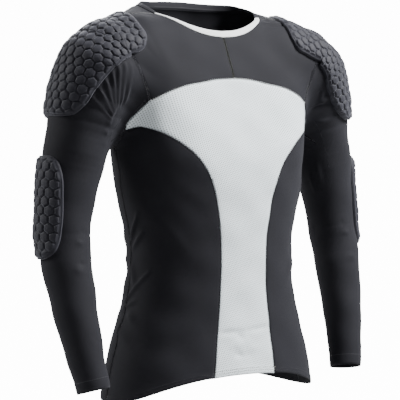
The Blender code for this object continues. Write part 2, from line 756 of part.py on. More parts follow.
def cell_points(loop):
    """Groove corners, groove lines, flat tops and centres of the six-sided cells in a loop."""
    low = loop.min(axis=0)
    high = loop.max(axis=0)
    row_step = CELL * math.sqrt(3) / 2
    turn = np.radians(np.arange(6) * 60)
    spoke = np.column_stack([np.cos(turn), np.sin(turn)]) * CELL / math.sqrt(3)
    corners = {}
    lines = set()
    flats = []
    centres = []
    for j in range(math.floor(low[0] / row_step), math.ceil(high[0] / row_step) + 1):
        for i in range(math.floor(low[1] / CELL) - 1, math.ceil(high[1] / CELL) + 2):
            centre = np.array([j * row_step, (i + (j % 2) / 2) * CELL])
            ring = centre + spoke
            keep = depth_inside(ring, loop) > PAD_MARGIN
            keys = [tuple(np.round(point, 5)) for point in ring]
            for k in range(6):
                if keep[k]:
                    corners.setdefault(keys[k], len(corners))
                if keep[k] and keep[k - 1]:
                    lines.add(tuple(sorted((keys[k], keys[k - 1]))))
            if depth_inside(centre[None], loop)[0] > PAD_MARGIN:
                centres.append(centre)
            flat = centre + CELL_FLAT * spoke
            flats.extend(flat[depth_inside(flat, loop) > PAD_MARGIN])
    pairs = [(corners[a], corners[b]) for a, b in sorted(lines)]
    return np.array(list(corners)), pairs, np.array(flats), np.array(centres)


def flat_faces(points, loop_count, lines):
    """Triangles over flat points inside their first loop, with these lines kept as edges."""
    edges = [(int(a), int(b)) for a, b in lines]
    border = [list(range(loop_count))]
    made = delaunay_2d_cdt([tuple(p) for p in points], edges, border, 1, CDT_MARGIN)
    came_from = [min(group) if group else 0 for group in made[3]]
    return [[came_from[k] for k in face] for face in made[2]]


def cloth_tree():
    """Every face of the cloth made so far, for measuring how high it stands."""
    verts = []
    faces = []
    for obj in PARTS.objects:
        first_vert = len(verts)
        verts.extend(vert.co.copy() for vert in obj.data.vertices)
        faces.extend([first_vert + k for k in face.vertices] for face in obj.data.polygons)
    return BVHTree.FromPolygons(verts, faces)


def over_cloth(tree, base):
    """Points on top of the flat facets round each base point, and the way out there."""
    cover, direction = lifted(base)
    side = np.cross(direction, np.array([0.31, 0.62, 0.72]))
    side /= np.linalg.norm(side, axis=1)[:, None]
    other = np.cross(direction, side)
    highest = np.full(len(base), -1.0)
    for k in range(13):
        spread = (FACET_REACH, FACET_REACH * 0.55, 0.0)[k // 6]
        angle = math.radians(60 * k + 30 * (k // 6))
        near = settle(base + spread * (math.cos(angle) * side + math.sin(angle) * other))
        spot, way = lifted(near)
        for i in range(len(base)):
            start = Vector(spot[i] + RAY_START * way[i])
            hit = tree.ray_cast(start, Vector(-way[i]), RAY_LENGTH)
            if hit[0] is not None:
                highest[i] = max(highest[i], RAY_START - hit[3])
    highest = np.where(highest < -0.5, 0.0, np.maximum(highest, LOWEST_COVER))
    return cover + highest[:, None] * direction, direction


def pad(name, chart, outline, sign):
    """Foam pad: six-sided cells raised over a plain inside that clears the cloth."""
    outline = np.asarray(outline, float) / 1000
    closed = np.vstack([outline, outline[:1]])
    around = np.linalg.norm(np.diff(closed, axis=0), axis=1).sum()
    loop = along(closed, round(around / PAD_STEP))[:-1]
    beside = np.roll(loop, -1, axis=0) - np.roll(loop, 1, axis=0)
    normal = np.column_stack([-beside[:, 1], beside[:, 0]])
    normal /= np.linalg.norm(normal, axis=1)[:, None]
    if depth_inside((loop + normal * PAD_LIP)[:1], loop)[0] < 0:
        normal = -normal
    lip = loop + normal * PAD_LIP
    corners, lines, flats, centres = cell_points(loop)
    count = len(loop)
    outer_flat = np.vstack([loop, lip, corners, flats])
    lip_lines = [(count + k, count + (k + 1) % count) for k in range(count)]
    cell_lines = [(2 * count + a, 2 * count + b) for a, b in lines]
    outer_faces = flat_faces(outer_flat, count, lip_lines + cell_lines)
    inner_flat = np.vstack([loop, corners, centres])
    inner_faces = flat_faces(inner_flat, count, [(count + a, count + b) for a, b in lines])
    heights = np.concatenate([
        np.full(count, PAD_GAP + PAD_EDGE), np.full(count, PAD_RIM),
        np.full(len(corners), PAD_GROOVE), np.full(len(flats), PAD_TOP)])
    bm = bmesh.new()
    layers = []
    for flat, height in ((outer_flat, heights), (inner_flat, np.full(len(inner_flat), PAD_GAP))):
        base = chart.place(flat)
        if sign < 0:
            base = mirrored(base)
        cover, direction = over_cloth(CLOTH_TREE, base)
        layers.append([bm.verts.new(point) for point in cover + height[:, None] * direction])
    for face in outer_faces:
        bm.faces.new([layers[0][k] for k in face])
    for face in inner_faces:
        bm.faces.new([layers[1][k] for k in reversed(face)])
    for k in range(count):
        after = (k + 1) % count
        bm.faces.new([layers[0][k], layers[0][after], layers[1][after], layers[1][k]])
    loose = [vert for vert in bm.verts if not vert.link_faces]
    bmesh.ops.delete(bm, geom=loose, context="VERTS")
    bmesh.ops.recalc_face_normals(bm, faces=bm.faces)
    if bm.calc_volume(signed=True) < 0:
        bmesh.ops.reverse_faces(bm, faces=bm.faces)
    return finish_node(name, bm, PAD_COVER)


CLOTH_TREE = cloth_tree()
shoulder_chart = Chart(SHOULDER_STATIONS)
elbow_chart = Chart(ELBOW_STATIONS)
pad("shoulder_pad_left", shoulder_chart, SHOULDER_LEFT + SHOULDER_BACK, 1)
pad("shoulder_pad_right", shoulder_chart, SHOULDER_RIGHT + SHOULDER_BACK, -1)
pad("elbow_pad_left", elbow_chart, ELBOW, 1)
pad("elbow_pad_right", elbow_chart, ELBOW, -1)
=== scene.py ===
# %% [markdown]
# # Padded compression shirt
# This lesson dresses a finished set of solids as a real shirt: knitted panels that cling to a worn
# shape, foam pads in six-sided cells, a neck tape, and the sewing that holds it all together.
# The solids are loaded first and stay where they are. Every piece made here sits on them.

# %% Load the solids
import math

import bmesh
import bpy
import numpy as np
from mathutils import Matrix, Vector


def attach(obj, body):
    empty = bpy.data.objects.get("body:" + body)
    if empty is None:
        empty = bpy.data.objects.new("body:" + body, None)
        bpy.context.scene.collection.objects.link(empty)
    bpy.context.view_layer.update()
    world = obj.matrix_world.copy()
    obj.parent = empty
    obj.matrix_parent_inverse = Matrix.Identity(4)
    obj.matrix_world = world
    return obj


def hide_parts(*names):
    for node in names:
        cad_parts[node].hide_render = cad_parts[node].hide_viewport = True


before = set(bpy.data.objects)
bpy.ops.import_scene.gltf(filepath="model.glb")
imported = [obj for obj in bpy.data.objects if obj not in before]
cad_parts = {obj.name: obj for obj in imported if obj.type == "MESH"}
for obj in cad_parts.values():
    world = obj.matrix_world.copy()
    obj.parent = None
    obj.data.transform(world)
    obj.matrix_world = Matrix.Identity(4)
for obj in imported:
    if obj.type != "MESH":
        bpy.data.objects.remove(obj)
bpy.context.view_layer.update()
print("solids:", sorted(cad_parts))

# %% [markdown]
# ## The worn shape
# A close-fitting shirt takes the shape of what fills it. It could be sculpted by hand, but a
# formula keeps every panel on one smooth form: rounded sections up the trunk, a shoulder line, and
# an arm made of short tapered lengths, all blended. The formula gives the distance to the form,
# below 0 inside it. All lengths are in metres, the front faces -Y and the left arm is on +X.

# %% Tables of the form
TRUNK = np.array([
    # height, half width, depth in front, depth behind
    (0.100, 0.130, 0.120, 0.092),
    (-0.050, 0.174, 0.121, 0.101),
    (-0.150, 0.184, 0.122, 0.112),
    (-0.250, 0.185, 0.124, 0.112),
    (-0.315, 0.178, 0.119, 0.103),
    (-0.430, 0.158, 0.113, 0.083),
    (-0.520, 0.168, 0.112, 0.089),
    (-0.573, 0.184, 0.114, 0.097),
    (-0.635, 0.201, 0.116, 0.104),
    (-0.720, 0.212, 0.117, 0.108),
])
SHOULDER_LINE = np.array([
    # distance from the middle, height
    (0.000, -0.014),
    (0.110, -0.014),
    (0.150, -0.021),
    (0.205, -0.034),
    (0.260, -0.055),
    (0.320, -0.090),
])
SHOULDER_ARCH = np.array([
    # distance behind the shoulder seam, height above the shoulder line
    (-0.160, -0.400),
    (-0.130, -0.270),
    (-0.105, -0.196),
    (-0.079, -0.112),
    (-0.047, -0.041),
    (-0.020, -0.010),
    (0.000, 0.000),
    (0.020, 0.010),
    (0.045, 0.016),
    (0.070, 0.007),
    (0.100, -0.027),
    (0.130, -0.095),
    (0.160, -0.190),
])
ARM = np.array([
    # centre x, y, z, radius
    (0.160, 0.008, -0.084, 0.055),
    (0.190, 0.006, -0.094, 0.064),
    (0.212, 0.003, -0.114, 0.073),
    (0.236, 0.006, -0.155, 0.069),
    (0.257, 0.010, -0.220, 0.058),
    (0.269, 0.011, -0.265, 0.054),
    (0.278, 0.012, -0.310, 0.050),
    (0.286, 0.010, -0.360, 0.046),
    (0.290, 0.007, -0.400, 0.044),
    (0.2915, -0.001, -0.435, 0.043),
    (0.290, -0.010, -0.470, 0.041),
    (0.287, -0.022, -0.515, 0.038),
    (0.283, -0.034, -0.560, 0.035),
    (0.277, -0.046, -0.606, 0.031),
    (0.271, -0.057, -0.652, 0.028),
])
# an exponent of 2 would make each trunk section an ellipse, and a larger one squares it
ROUNDNESS = 2.35
SHOULDER_BLEND = 0.028
ARM_BLEND = 0.040
# the cloth rises behind the neck, this high, this wide and in full from this far behind
NAPE_RISE = 0.024
NAPE_WIDTH = 0.090
NAPE_START = 0.065
print("form tables:", len(TRUNK), "trunk sections,", len(ARM), "arm lengths")

# %% Curves through tables
FINE_STEPS = 401
ARM_COUNT = 26


def eased(table, column, at):
    """Smooth value of one column of a table, read along its first column."""
    order = np.argsort(table[:, 0])
    x = table[order, 0]
    y = table[order, column]
    slope = np.gradient(y, x)
    at = np.clip(at, x[0], x[-1])
    i = np.clip(np.searchsorted(x, at) - 1, 0, len(x) - 2)
    step = x[i + 1] - x[i]
    t = (at - x[i]) / step
    return (y[i] * (1 + 2 * t) * (1 - t) ** 2 + y[i + 1] * t * t * (3 - 2 * t)
            + slope[i] * step * t * (1 - t) ** 2 - slope[i + 1] * step * t * t * (1 - t))


def along(points, count):
    """count + 1 evenly spaced points of a smooth curve through rows of numbers."""
    points = np.asarray(points, float)
    span = np.linalg.norm(np.diff(points, axis=0), axis=1)
    where = np.concatenate([[0.0], np.cumsum(span)])
    table = np.column_stack([where, points])
    fine = np.linspace(0.0, where[-1], FINE_STEPS)
    curve = np.column_stack([eased(table, k + 1, fine) for k in range(points.shape[1])])
    steps = np.linalg.norm(np.diff(curve, axis=0), axis=1)
    length = np.concatenate([[0.0], np.cumsum(steps)])
    at = np.linspace(0.0, length[-1], count + 1)
    return np.column_stack([np.interp(at, length, curve[:, k]) for k in range(curve.shape[1])])


def smooth_step(value, low, high):
    """0 below low, 1 above high, and a soft rise between."""
    t = np.clip((value - low) / (high - low), 0.0, 1.0)
    return t * t * (3 - 2 * t)


ARM_LENGTHS = along(ARM, ARM_COUNT)
print("arm drawn with", len(ARM_LENGTHS) - 1, "tapered lengths")

# %% The form itself
ARM_BEGINS = 0.06
ARCH_STEP = 0.002


def smooth_max(a, b, reach):
    """The larger of two values, rounded where they are nearly the same."""
    near = np.maximum(reach - np.abs(a - b), 0.0) / reach
    return np.maximum(a, b) + near * near * reach / 4


def arm_distance(p):
    """Distance outside the tapered arm."""
    start = ARM_LENGTHS[:-1, :3]
    run = ARM_LENGTHS[1:, :3] - start
    to = p[:, None, :] - start[None]
    t = np.clip((to * run[None]).sum(2) / (run * run).sum(1)[None], 0.0, 1.0)
    gap = np.linalg.norm(to - t[:, :, None] * run[None], axis=2)
    radius = ARM_LENGTHS[:-1, 3] + t * (ARM_LENGTHS[1:, 3] - ARM_LENGTHS[:-1, 3])
    return (gap - radius).min(axis=1)


def form(p):
    """Below 0 inside the worn shape, above 0 outside it."""
    x = np.abs(p[:, 0])
    y = p[:, 1]
    z = p[:, 2]
    wide = eased(TRUNK, 1, z)
    deep = np.where(y < 0, eased(TRUNK, 2, z), eased(TRUNK, 3, z))
    ratio = ((x / wide) ** ROUNDNESS + (np.abs(y) / deep) ** ROUNDNESS) ** (1 / ROUNDNESS)
    wall = np.hypot(x, y) * (1 - 1 / np.maximum(ratio, 1e-6))
    rise = NAPE_RISE * np.exp(-(x / NAPE_WIDTH) ** 2) * np.clip(y / NAPE_START, 0, 1) ** 2
    top = eased(SHOULDER_LINE, 1, x) + eased(SHOULDER_ARCH, 1, y) + rise
    slope = eased(SHOULDER_ARCH, 1, y + ARCH_STEP) - eased(SHOULDER_ARCH, 1, y - ARCH_STEP)
    slope /= 2 * ARCH_STEP
    trunk = smooth_max(wall, (z - top) / np.hypot(1.0, slope), SHOULDER_BLEND)
    arm = np.ones(len(p))
    beside = x > ARM_BEGINS
    arm[beside] = arm_distance(np.column_stack([x, y, z])[beside])
    return -smooth_max(-trunk, -arm, ARM_BLEND)


print("form well inside the chest:", form(np.array([[0.0, -0.06, -0.2]])).round(3))

# %% Moving points onto the form
SLOPE_STEP = 0.0008
LONGEST_MOVE = 0.03
OUTSIDE = 0.2
HALVINGS = 30


def outward(p):
    """Directions straight out of the form at these points."""
    slope = np.empty_like(p)
    for axis in range(3):
        move = np.zeros(3)
        move[axis] = SLOPE_STEP
        slope[:, axis] = (form(p + move) - form(p - move)) / (2 * SLOPE_STEP)
    return slope


def settle(points, rounds=4):
    """Points moved onto the form by the shortest way."""
    shape = np.shape(points)
    p = np.array(points, float).reshape(-1, 3)
    for _ in range(rounds):
        slope = outward(p)
        move = np.clip(form(p) / (slope * slope).sum(1), -LONGEST_MOVE, LONGEST_MOVE)
        p -= move[:, None] * slope
    return p.reshape(shape)


def face_point(x, z):
    """The points of the form's front at these x and z."""
    x = np.asarray(x, float)
    z = np.asarray(z, float)
    inside = np.zeros_like(x)
    outside = np.full_like(x, -OUTSIDE)
    for _ in range(HALVINGS):
        middle = (inside + outside) / 2
        within = form(np.column_stack([x, middle, z])) < 0
        inside = np.where(within, middle, inside)
        outside = np.where(within, outside, middle)
    return np.column_stack([x, inside, z])


print("front of the chest:", face_point([0.0], [-0.2]).round(3))

# %% [markdown]
# ## Folds
# Stretch cloth lies smooth where it is pulled tight and gathers where a limb turns: it fans out of
# the front of the underarm, runs across the waist and wrinkles beside the neck. Cloth simulation
# would have to guess the tension, so each fold is a short ridge or trough with its own place, width
# and height, as a fitter would mark them. A faint ripple keeps the rest from looking moulded.

# %% Table of folds
FOLDS = np.array([
    # start x, y, z and end x, y, z on the left half, half width, height,
    # and the side that has it: -1 right, 1 left, 0 both
    (0.285, -0.043, -0.175, 0.236, -0.050, -0.206, 0.0032, 0.0052, -1),
    (0.272, -0.054, -0.164, 0.235, -0.052, -0.200, 0.0028, 0.0060, -1),
    (0.262, -0.060, -0.148, 0.233, -0.054, -0.194, 0.0027, 0.0066, -1),
    (0.251, -0.064, -0.134, 0.231, -0.055, -0.189, 0.0027, 0.0070, -1),
    (0.240, -0.068, -0.122, 0.229, -0.056, -0.184, 0.0026, 0.0066, -1),
    (0.229, -0.070, -0.112, 0.225, -0.058, -0.180, 0.0026, 0.0060, -1),
    (0.217, -0.070, -0.108, 0.219, -0.058, -0.180, 0.0028, 0.0052, -1),
    (0.204, -0.068, -0.109, 0.210, -0.058, -0.182, 0.0034, 0.0036, -1),
    (0.292, -0.034, -0.192, 0.238, -0.045, -0.222, 0.0040, 0.0042, -1),
    (0.292, -0.022, -0.215, 0.240, -0.038, -0.240, 0.0060, 0.0030, -1),
    (0.160, -0.030, -0.330, 0.110, -0.100, -0.430, 0.0140, 0.0030, -1),
    (0.166, -0.030, -0.360, 0.160, 0.006, -0.412, 0.0036, 0.0040, -1),
    (0.158, -0.034, -0.392, 0.158, 0.000, -0.424, 0.0036, 0.0038, -1),
    (0.152, -0.043, -0.460, 0.167, 0.016, -0.520, 0.0034, 0.0042, -1),
    (0.166, -0.022, -0.510, 0.168, 0.022, -0.530, 0.0036, 0.0038, -1),
    (0.160, 0.004, -0.448, 0.163, -0.012, -0.484, 0.0070, 0.0040, -1),
    (0.172, -0.006, -0.532, 0.171, -0.030, -0.545, 0.0080, 0.0040, -1),
    (0.176, 0.020, -0.560, 0.184, -0.030, -0.580, 0.0100, 0.0035, -1),
    (0.150, -0.060, -0.300, 0.090, -0.108, -0.360, 0.0160, -0.0025, -1),
    (0.150, -0.060, -0.600, 0.090, -0.110, -0.560, 0.0180, -0.0022, -1),
    (0.240, -0.058, -0.142, 0.205, -0.062, -0.172, 0.0050, 0.0036, 1),
    (0.240, -0.060, -0.160, 0.196, -0.052, -0.180, 0.0040, -0.0040, 1),
    (0.226, -0.064, -0.128, 0.204, -0.063, -0.150, 0.0036, -0.0034, 1),
    (0.218, -0.066, -0.112, 0.206, -0.062, -0.176, 0.0036, 0.0030, 1),
    (0.255, -0.050, -0.190, 0.205, -0.046, -0.205, 0.0060, 0.0036, 1),
    (0.232, -0.020, -0.270, 0.240, -0.028, -0.350, 0.0050, 0.0032, 1),
    (0.224, 0.000, -0.262, 0.236, -0.010, -0.330, 0.0044, 0.0030, 1),
    (0.160, -0.058, -0.250, 0.150, -0.070, -0.360, 0.0044, 0.0028, 1),
    (0.172, -0.040, -0.250, 0.158, -0.056, -0.380, 0.0044, 0.0028, 1),
    (0.160, -0.030, -0.420, 0.110, -0.098, -0.480, 0.0130, 0.0030, 1),
    (0.158, -0.020, -0.460, 0.120, -0.090, -0.430, 0.0110, -0.0025, 1),
    (0.117, -0.014, -0.018, 0.150, -0.010, -0.021, 0.0026, -0.0032, 1),
    (0.104, -0.030, -0.030, 0.150, -0.026, -0.026, 0.0026, -0.0034, 1),
    (0.112, -0.022, -0.024, 0.148, -0.018, -0.022, 0.0030, 0.0020, 1),
    (0.225, 0.075, -0.120, 0.168, 0.075, -0.195, 0.0060, 0.0055, 0),
    (0.265, 0.060, -0.165, 0.175, 0.066, -0.215, 0.0055, 0.0050, 0),
    (0.240, 0.072, -0.140, 0.172, 0.071, -0.205, 0.0040, -0.0030, 0),
    (0.205, 0.075, -0.108, 0.150, 0.086, -0.180, 0.0050, 0.0036, 0),
    (0.160, 0.030, -0.400, 0.040, 0.096, -0.450, 0.0110, 0.0048, 0),
    (0.162, 0.030, -0.470, 0.060, 0.098, -0.430, 0.0100, -0.0042, 0),
    (0.158, 0.034, -0.440, 0.020, 0.084, -0.475, 0.0070, 0.0036, -1),
    (0.158, 0.034, -0.425, 0.010, 0.084, -0.400, 0.0080, 0.0032, 1),
    (0.166, 0.030, -0.520, 0.070, 0.088, -0.500, 0.0090, 0.0034, 1),
    (0.170, 0.030, -0.545, 0.050, 0.090, -0.505, 0.0090, 0.0032, -1),
    (0.280, -0.030, -0.388, 0.250, 0.003, -0.400, 0.0055, -0.0052, 0),
    (0.290, -0.040, -0.406, 0.250, -0.004, -0.418, 0.0045, 0.0036, 0),
    (0.300, -0.050, -0.450, 0.256, -0.020, -0.462, 0.0065, 0.0030, 0),
    (0.290, -0.048, -0.440, 0.252, -0.014, -0.448, 0.0034, -0.0024, -1),
    (0.280, -0.068, -0.570, 0.258, -0.050, -0.590, 0.0050, 0.0020, 0),
    (0.296, -0.070, -0.615, 0.256, -0.066, -0.630, 0.0042, 0.0018, 0),
    (0.250, 0.004, -0.600, 0.290, -0.012, -0.575, 0.0050, 0.0020, 0),
    (0.050, -0.111, -0.566, 0.000, -0.112, -0.565, 0.0050, -0.0024, -1),
    (0.000, -0.112, -0.565, 0.052, -0.110, -0.560, 0.0050, -0.0022, 1),
    (0.018, -0.112, -0.572, 0.004, -0.112, -0.573, 0.0050, -0.0026, -1),
    (0.026, -0.112, -0.588, -0.004, -0.112, -0.586, 0.0070, 0.0022, -1),
    (0.020, -0.113, -0.604, 0.002, -0.113, -0.607, 0.0050, -0.0028, -1),
    (-0.004, -0.113, -0.600, 0.030, -0.112, -0.592, 0.0080, 0.0014, 1),
])
RIPPLES = np.array([
    # direction x, y, z in waves a metre, start, height
    (9.0, 4.0, 13.0, 0.4, 0.00035),
    (-6.0, 7.0, 11.0, 1.9, 0.00030),
    (14.0, -5.0, 6.0, 3.1, 0.00022),
    (3.0, 12.0, -17.0, 0.9, 0.00020),
    (-11.0, 3.0, 21.0, 5.0, 0.00015),
])
print("folds placed by hand:", len(FOLDS))

# %% How far the cloth stands off the form
FADE_START = 0.08
FADE_POWER = 0.8
MIDDLE_BLEND = 0.04


def fold_height(p, side):
    """Height of the folds of one side at these points."""
    height = np.zeros(len(p))
    q = np.column_stack([np.abs(p[:, 0]), p[:, 1], p[:, 2]])
    for row in FOLDS:
        if row[8] not in (0, side):
            continue
        run = row[3:6] - row[0:3]
        t = np.clip(((q - row[0:3]) @ run) / (run @ run), 0.0, 1.0)
        off = np.linalg.norm(q - row[0:3] - t[:, None] * run, axis=1)
        fade = np.sin(math.pi * (FADE_START + (1 - 2 * FADE_START) * t)) ** FADE_POWER
        height += row[7] * fade * np.exp(-(off / row[6]) ** 2)
    return height


def cloth_height(p):
    """Folds of both sides, met softly at the middle, and the ripple."""
    mix = np.clip(0.5 + p[:, 0] / MIDDLE_BLEND, 0.0, 1.0)
    height = fold_height(p, -1) * (1 - mix) + fold_height(p, 1) * mix
    for x, y, z, start, size in RIPPLES:
        height += size * np.sin(2 * math.pi * (p @ np.array([x, y, z])) + start)
    return height


def on_cloth(base, extra=0.0):
    """Outer points of the cloth over points of the form, and the way out there."""
    p = base.reshape(-1, 3)
    way = outward(p)
    way /= np.linalg.norm(way, axis=1)[:, None]
    raised = p + (cloth_height(p) + np.ravel(extra))[:, None] * way
    return raised.reshape(base.shape), way.reshape(base.shape)


print("tallest fold, mm:", FOLDS[:, 7].max() * 1000)

# %% [markdown]
# ## Seams of the left half
# The panels meet on seams, so the seams come first and both neighbours use the same points. Curves
# could be drawn by hand in the viewport, but a table of points can be measured and mended one
# number at a time. The right half is the mirror of the left one.

# %% Neckline and armhole tables
NECK_FRONT = np.array([
    # neckline's lower edge x, y, z, then the tape's free edge x, y, z
    (0.000, -0.047, -0.053, 0.000, -0.041, -0.044),
    (0.030, -0.045, -0.050, 0.029, -0.039, -0.041),
    (0.060, -0.038, -0.042, 0.057, -0.032, -0.034),
    (0.085, -0.026, -0.031, 0.081, -0.021, -0.025),
    (0.102, -0.013, -0.022, 0.096, -0.010, -0.018),
    (0.112, 0.000, -0.015, 0.104, 0.000, -0.014),
])
NECK_BACK = np.array([
    (0.112, 0.000, -0.015, 0.104, 0.000, -0.014),
    (0.120, 0.018, -0.006, 0.112, 0.018, -0.003),
    (0.121, 0.042, 0.001, 0.113, 0.041, 0.005),
    (0.108, 0.063, 0.004, 0.102, 0.060, 0.011),
    (0.074, 0.079, 0.005, 0.072, 0.075, 0.013),
    (0.038, 0.087, 0.006, 0.037, 0.083, 0.015),
    (0.000, 0.090, 0.007, 0.000, 0.086, 0.016),
])
SHOULDER_MIDDLE = (0.155, 0.001, -0.021)
SHOULDER_TIP = (0.207, 0.003, -0.030)
ARMHOLE_YOKE = np.array([
    SHOULDER_TIP,
    (0.208, -0.028, -0.042),
    (0.205, -0.050, -0.068),
    (0.196, -0.062, -0.096),
    (0.183, -0.066, -0.124),
    (0.172, -0.067, -0.147),
    (0.164, -0.064, -0.168),
])
ARMHOLE_WING = np.array([
    (0.164, -0.064, -0.168),
    (0.172, -0.050, -0.182),
    (0.180, -0.034, -0.196),
    (0.185, -0.018, -0.208),
])
ARMHOLE_SIDE = np.array([
    (0.185, -0.018, -0.208),
    (0.190, -0.010, -0.230),
    (0.193, 0.004, -0.245),
])
ARMHOLE_BACK = np.array([
    (0.193, 0.004, -0.245),
    (0.189, 0.026, -0.230),
    (0.182, 0.050, -0.200),
    (0.179, 0.065, -0.165),
    (0.184, 0.071, -0.125),
    (0.197, 0.063, -0.085),
    (0.206, 0.041, -0.052),
    SHOULDER_TIP,
])
marks = len(ARMHOLE_YOKE) + len(ARMHOLE_WING) + len(ARMHOLE_SIDE) + len(ARMHOLE_BACK)
print("armhole seam has", marks, "marks")

# %% Tables of the pale panel's edges and of the hem
WING_TOP = np.array([
    # pale panel's upper edge: distance from the middle, height
    (0.000, -0.128),
    (0.035, -0.130),
    (0.070, -0.136),
    (0.100, -0.141),
    (0.128, -0.150),
    (0.148, -0.159),
    (0.164, -0.168),
])
WING_BOTTOM = np.array([
    (0.0715, -0.301),
    (0.0815, -0.283),
    (0.095, -0.265),
    (0.119, -0.243),
    (0.138, -0.230),
    (0.156, -0.220),
    (0.174, -0.213),
])
STRIP_EDGE = np.array([
    # pale strip's edge: half width, height
    (0.0715, -0.301),
    (0.0640, -0.322),
    (0.0580, -0.345),
    (0.0495, -0.400),
    (0.0475, -0.440),
    (0.0490, -0.490),
    (0.0530, -0.540),
    (0.0590, -0.595),
    (0.0640, -0.642),
])
# heights of the hem, half width of the pale strip there, and how late the hem dips to the side
HEM_FRONT = -0.639
HEM_SIDE = -0.684
HEM_BACK = -0.656
HEM_STRIP = 0.0640
HEM_SECTION = -0.680
HEM_DIP = 2.6
print("narrowest half width of the pale strip, mm:", STRIP_EDGE[:, 0].min() * 1000)

# %% Counts of steps along the seams
# two panels that share a seam share its count, so strip and wing add up to neck and shoulder
N_STRIP = 22
N_WING = 40
N_NECK = 36
N_SHOULDER = 26
N_NAPE = 48
N_YOKE = 64
N_ARM_SIDE = 20
N_ARM_BACK = 64
N_SIDE = 130
N_WING_ROWS = 30
N_SLEEVE = 200
print("across the yoke:", N_STRIP + N_WING, "steps below,", N_NECK + N_SHOULDER, "above")

# %% Seams of the neck, the shoulder and the armhole


def mirrored(points):
    """The same points on the other side of the middle."""
    flipped = np.array(points, float)
    flipped[..., 0] *= -1
    return flipped


neck_front = settle(along(NECK_FRONT[:, :3], N_NECK))
neck_back = settle(along(NECK_BACK[:, :3], N_NAPE))
shoulder = settle(along([NECK_FRONT[-1, :3], SHOULDER_MIDDLE, SHOULDER_TIP], N_SHOULDER))
arm_yoke = settle(along(ARMHOLE_YOKE, N_YOKE))
arm_wing = settle(along(ARMHOLE_WING, N_WING_ROWS))
arm_side = settle(along(ARMHOLE_SIDE, N_ARM_SIDE))
arm_back = settle(along(ARMHOLE_BACK, N_ARM_BACK))
shoulder[0] = neck_front[-1]
neck_back[0] = neck_front[-1]
arm_yoke[0] = shoulder[-1]
arm_back[-1] = shoulder[-1]
arm_back[0] = arm_side[-1]
arm_wing[0] = arm_yoke[-1]
arm_wing[-1] = arm_side[0]
print("shoulder seam ends at", shoulder[-1].round(3))

# %% Edges of the pale panel
ARC_STEPS = 300
WING_STEPS = 60
arc = along(WING_TOP, ARC_STEPS)
cut = np.argmin(np.abs(arc[:, 0] - STRIP_EDGE[0, 0]))
arc_strip = along(arc[:cut + 1], N_STRIP)
arc_wing = along(arc[cut:], N_WING)
arc_strip = face_point(arc_strip[:, 0], arc_strip[:, 1])
arc_wing = face_point(arc_wing[:, 0], arc_wing[:, 1])
arc_wing[-1] = arm_yoke[-1]
arc_all = np.vstack([arc_strip, arc_wing[1:]])

wing_low = along(WING_BOTTOM, WING_STEPS)
wing_low = face_point(wing_low[:, 0], wing_low[:, 1])
wing_low = settle(along(np.vstack([wing_low, arm_side[:1]]), N_WING))
wing_low[-1] = arm_side[0]
strip_edge = along(STRIP_EDGE, N_SIDE)
strip_edge = face_point(strip_edge[:, 0], strip_edge[:, 1])
centre_z = np.linspace(WING_TOP[0, 1], NECK_FRONT[0, 2], N_YOKE + 1)
centre_seam = face_point(np.zeros(N_YOKE + 1), centre_z)
centre_seam[-1] = neck_front[0]
arc_length = 2 * np.linalg.norm(np.diff(arc_all, axis=0), axis=1).sum()
print("upper edge of the pale panel, mm:", round(1000 * arc_length))

# %% Side seam and hem
HEM_STEPS = 201


def side_point(y, z):
    """The point of the trunk's left side at this y and z."""
    wide = eased(TRUNK, 1, z)
    deep = np.where(y < 0, eased(TRUNK, 2, z), eased(TRUNK, 3, z))
    x = wide * (1 - (np.abs(y) / deep) ** ROUNDNESS) ** (1 / ROUNDNESS)
    return np.column_stack([x, y, z])


def hem_points(start_x, count, front):
    """Hem from start_x to the side seam."""
    wide = eased(TRUNK, 1, HEM_SIDE)
    deep = eased(TRUNK, 2 if front else 3, HEM_SECTION)
    angle = math.acos(min(start_x / wide, 1.0)) * (1 - np.linspace(0, 1, HEM_STEPS))
    x = wide * np.cos(angle) ** (2 / ROUNDNESS)
    y = deep * np.sin(angle) ** (2 / ROUNDNESS)
    middle = HEM_FRONT if front else HEM_BACK
    z = middle + (HEM_SIDE - middle) * (x / wide) ** HEM_DIP
    return along(settle(np.column_stack([x, -y if front else y, z])), count)


side_z = np.linspace(ARMHOLE_SIDE[-1, 2], HEM_SIDE, N_SIDE + 1)
side_seam = side_point(np.full(N_SIDE + 1, ARMHOLE_SIDE[-1, 1]), side_z)
side_seam[1:] = settle(side_seam[1:])
side_seam[0] = arm_side[-1]
hem_side_front = hem_points(HEM_STRIP, N_WING + N_ARM_SIDE, True)
hem_side_front[0] = strip_edge[-1]
hem_side_front[-1] = side_seam[-1]
hem_x = np.linspace(0.0, HEM_STRIP, N_STRIP + 1)
hem_drop = (strip_edge[-1, 2] - HEM_FRONT) * (hem_x / HEM_STRIP) ** 2
hem_strip = face_point(hem_x, HEM_FRONT + hem_drop)
hem_strip[-1] = strip_edge[-1]
hem_back = hem_points(0.0, N_NAPE, False)
hem_back[-1] = side_seam[-1]
print("side seam, mm:", round(1000 * np.linalg.norm(np.diff(side_seam, axis=0), axis=1).sum()))

# %% [markdown]
# ## Panels between seams
# A flat pattern could be draped, but the worn shape is known here. So a grid is stretched between
# four seams, measured by turn, height and reach about a spine inside the chest, and then let down
# onto the form. That keeps its lines even, and its weave then follows the panel's own grain.

# %% Filling a panel
SPINE_TOP = -0.110
SPINE_REACH = 0.120
SMOOTHING_ROUNDS = 60
LAYING_ROUNDS = 14
LAYING_SHARE = 0.7
# nearer the middle than this a point moves in or out to the form, and further out only in
MIDDLE_ZONE = (0.08, 0.14)


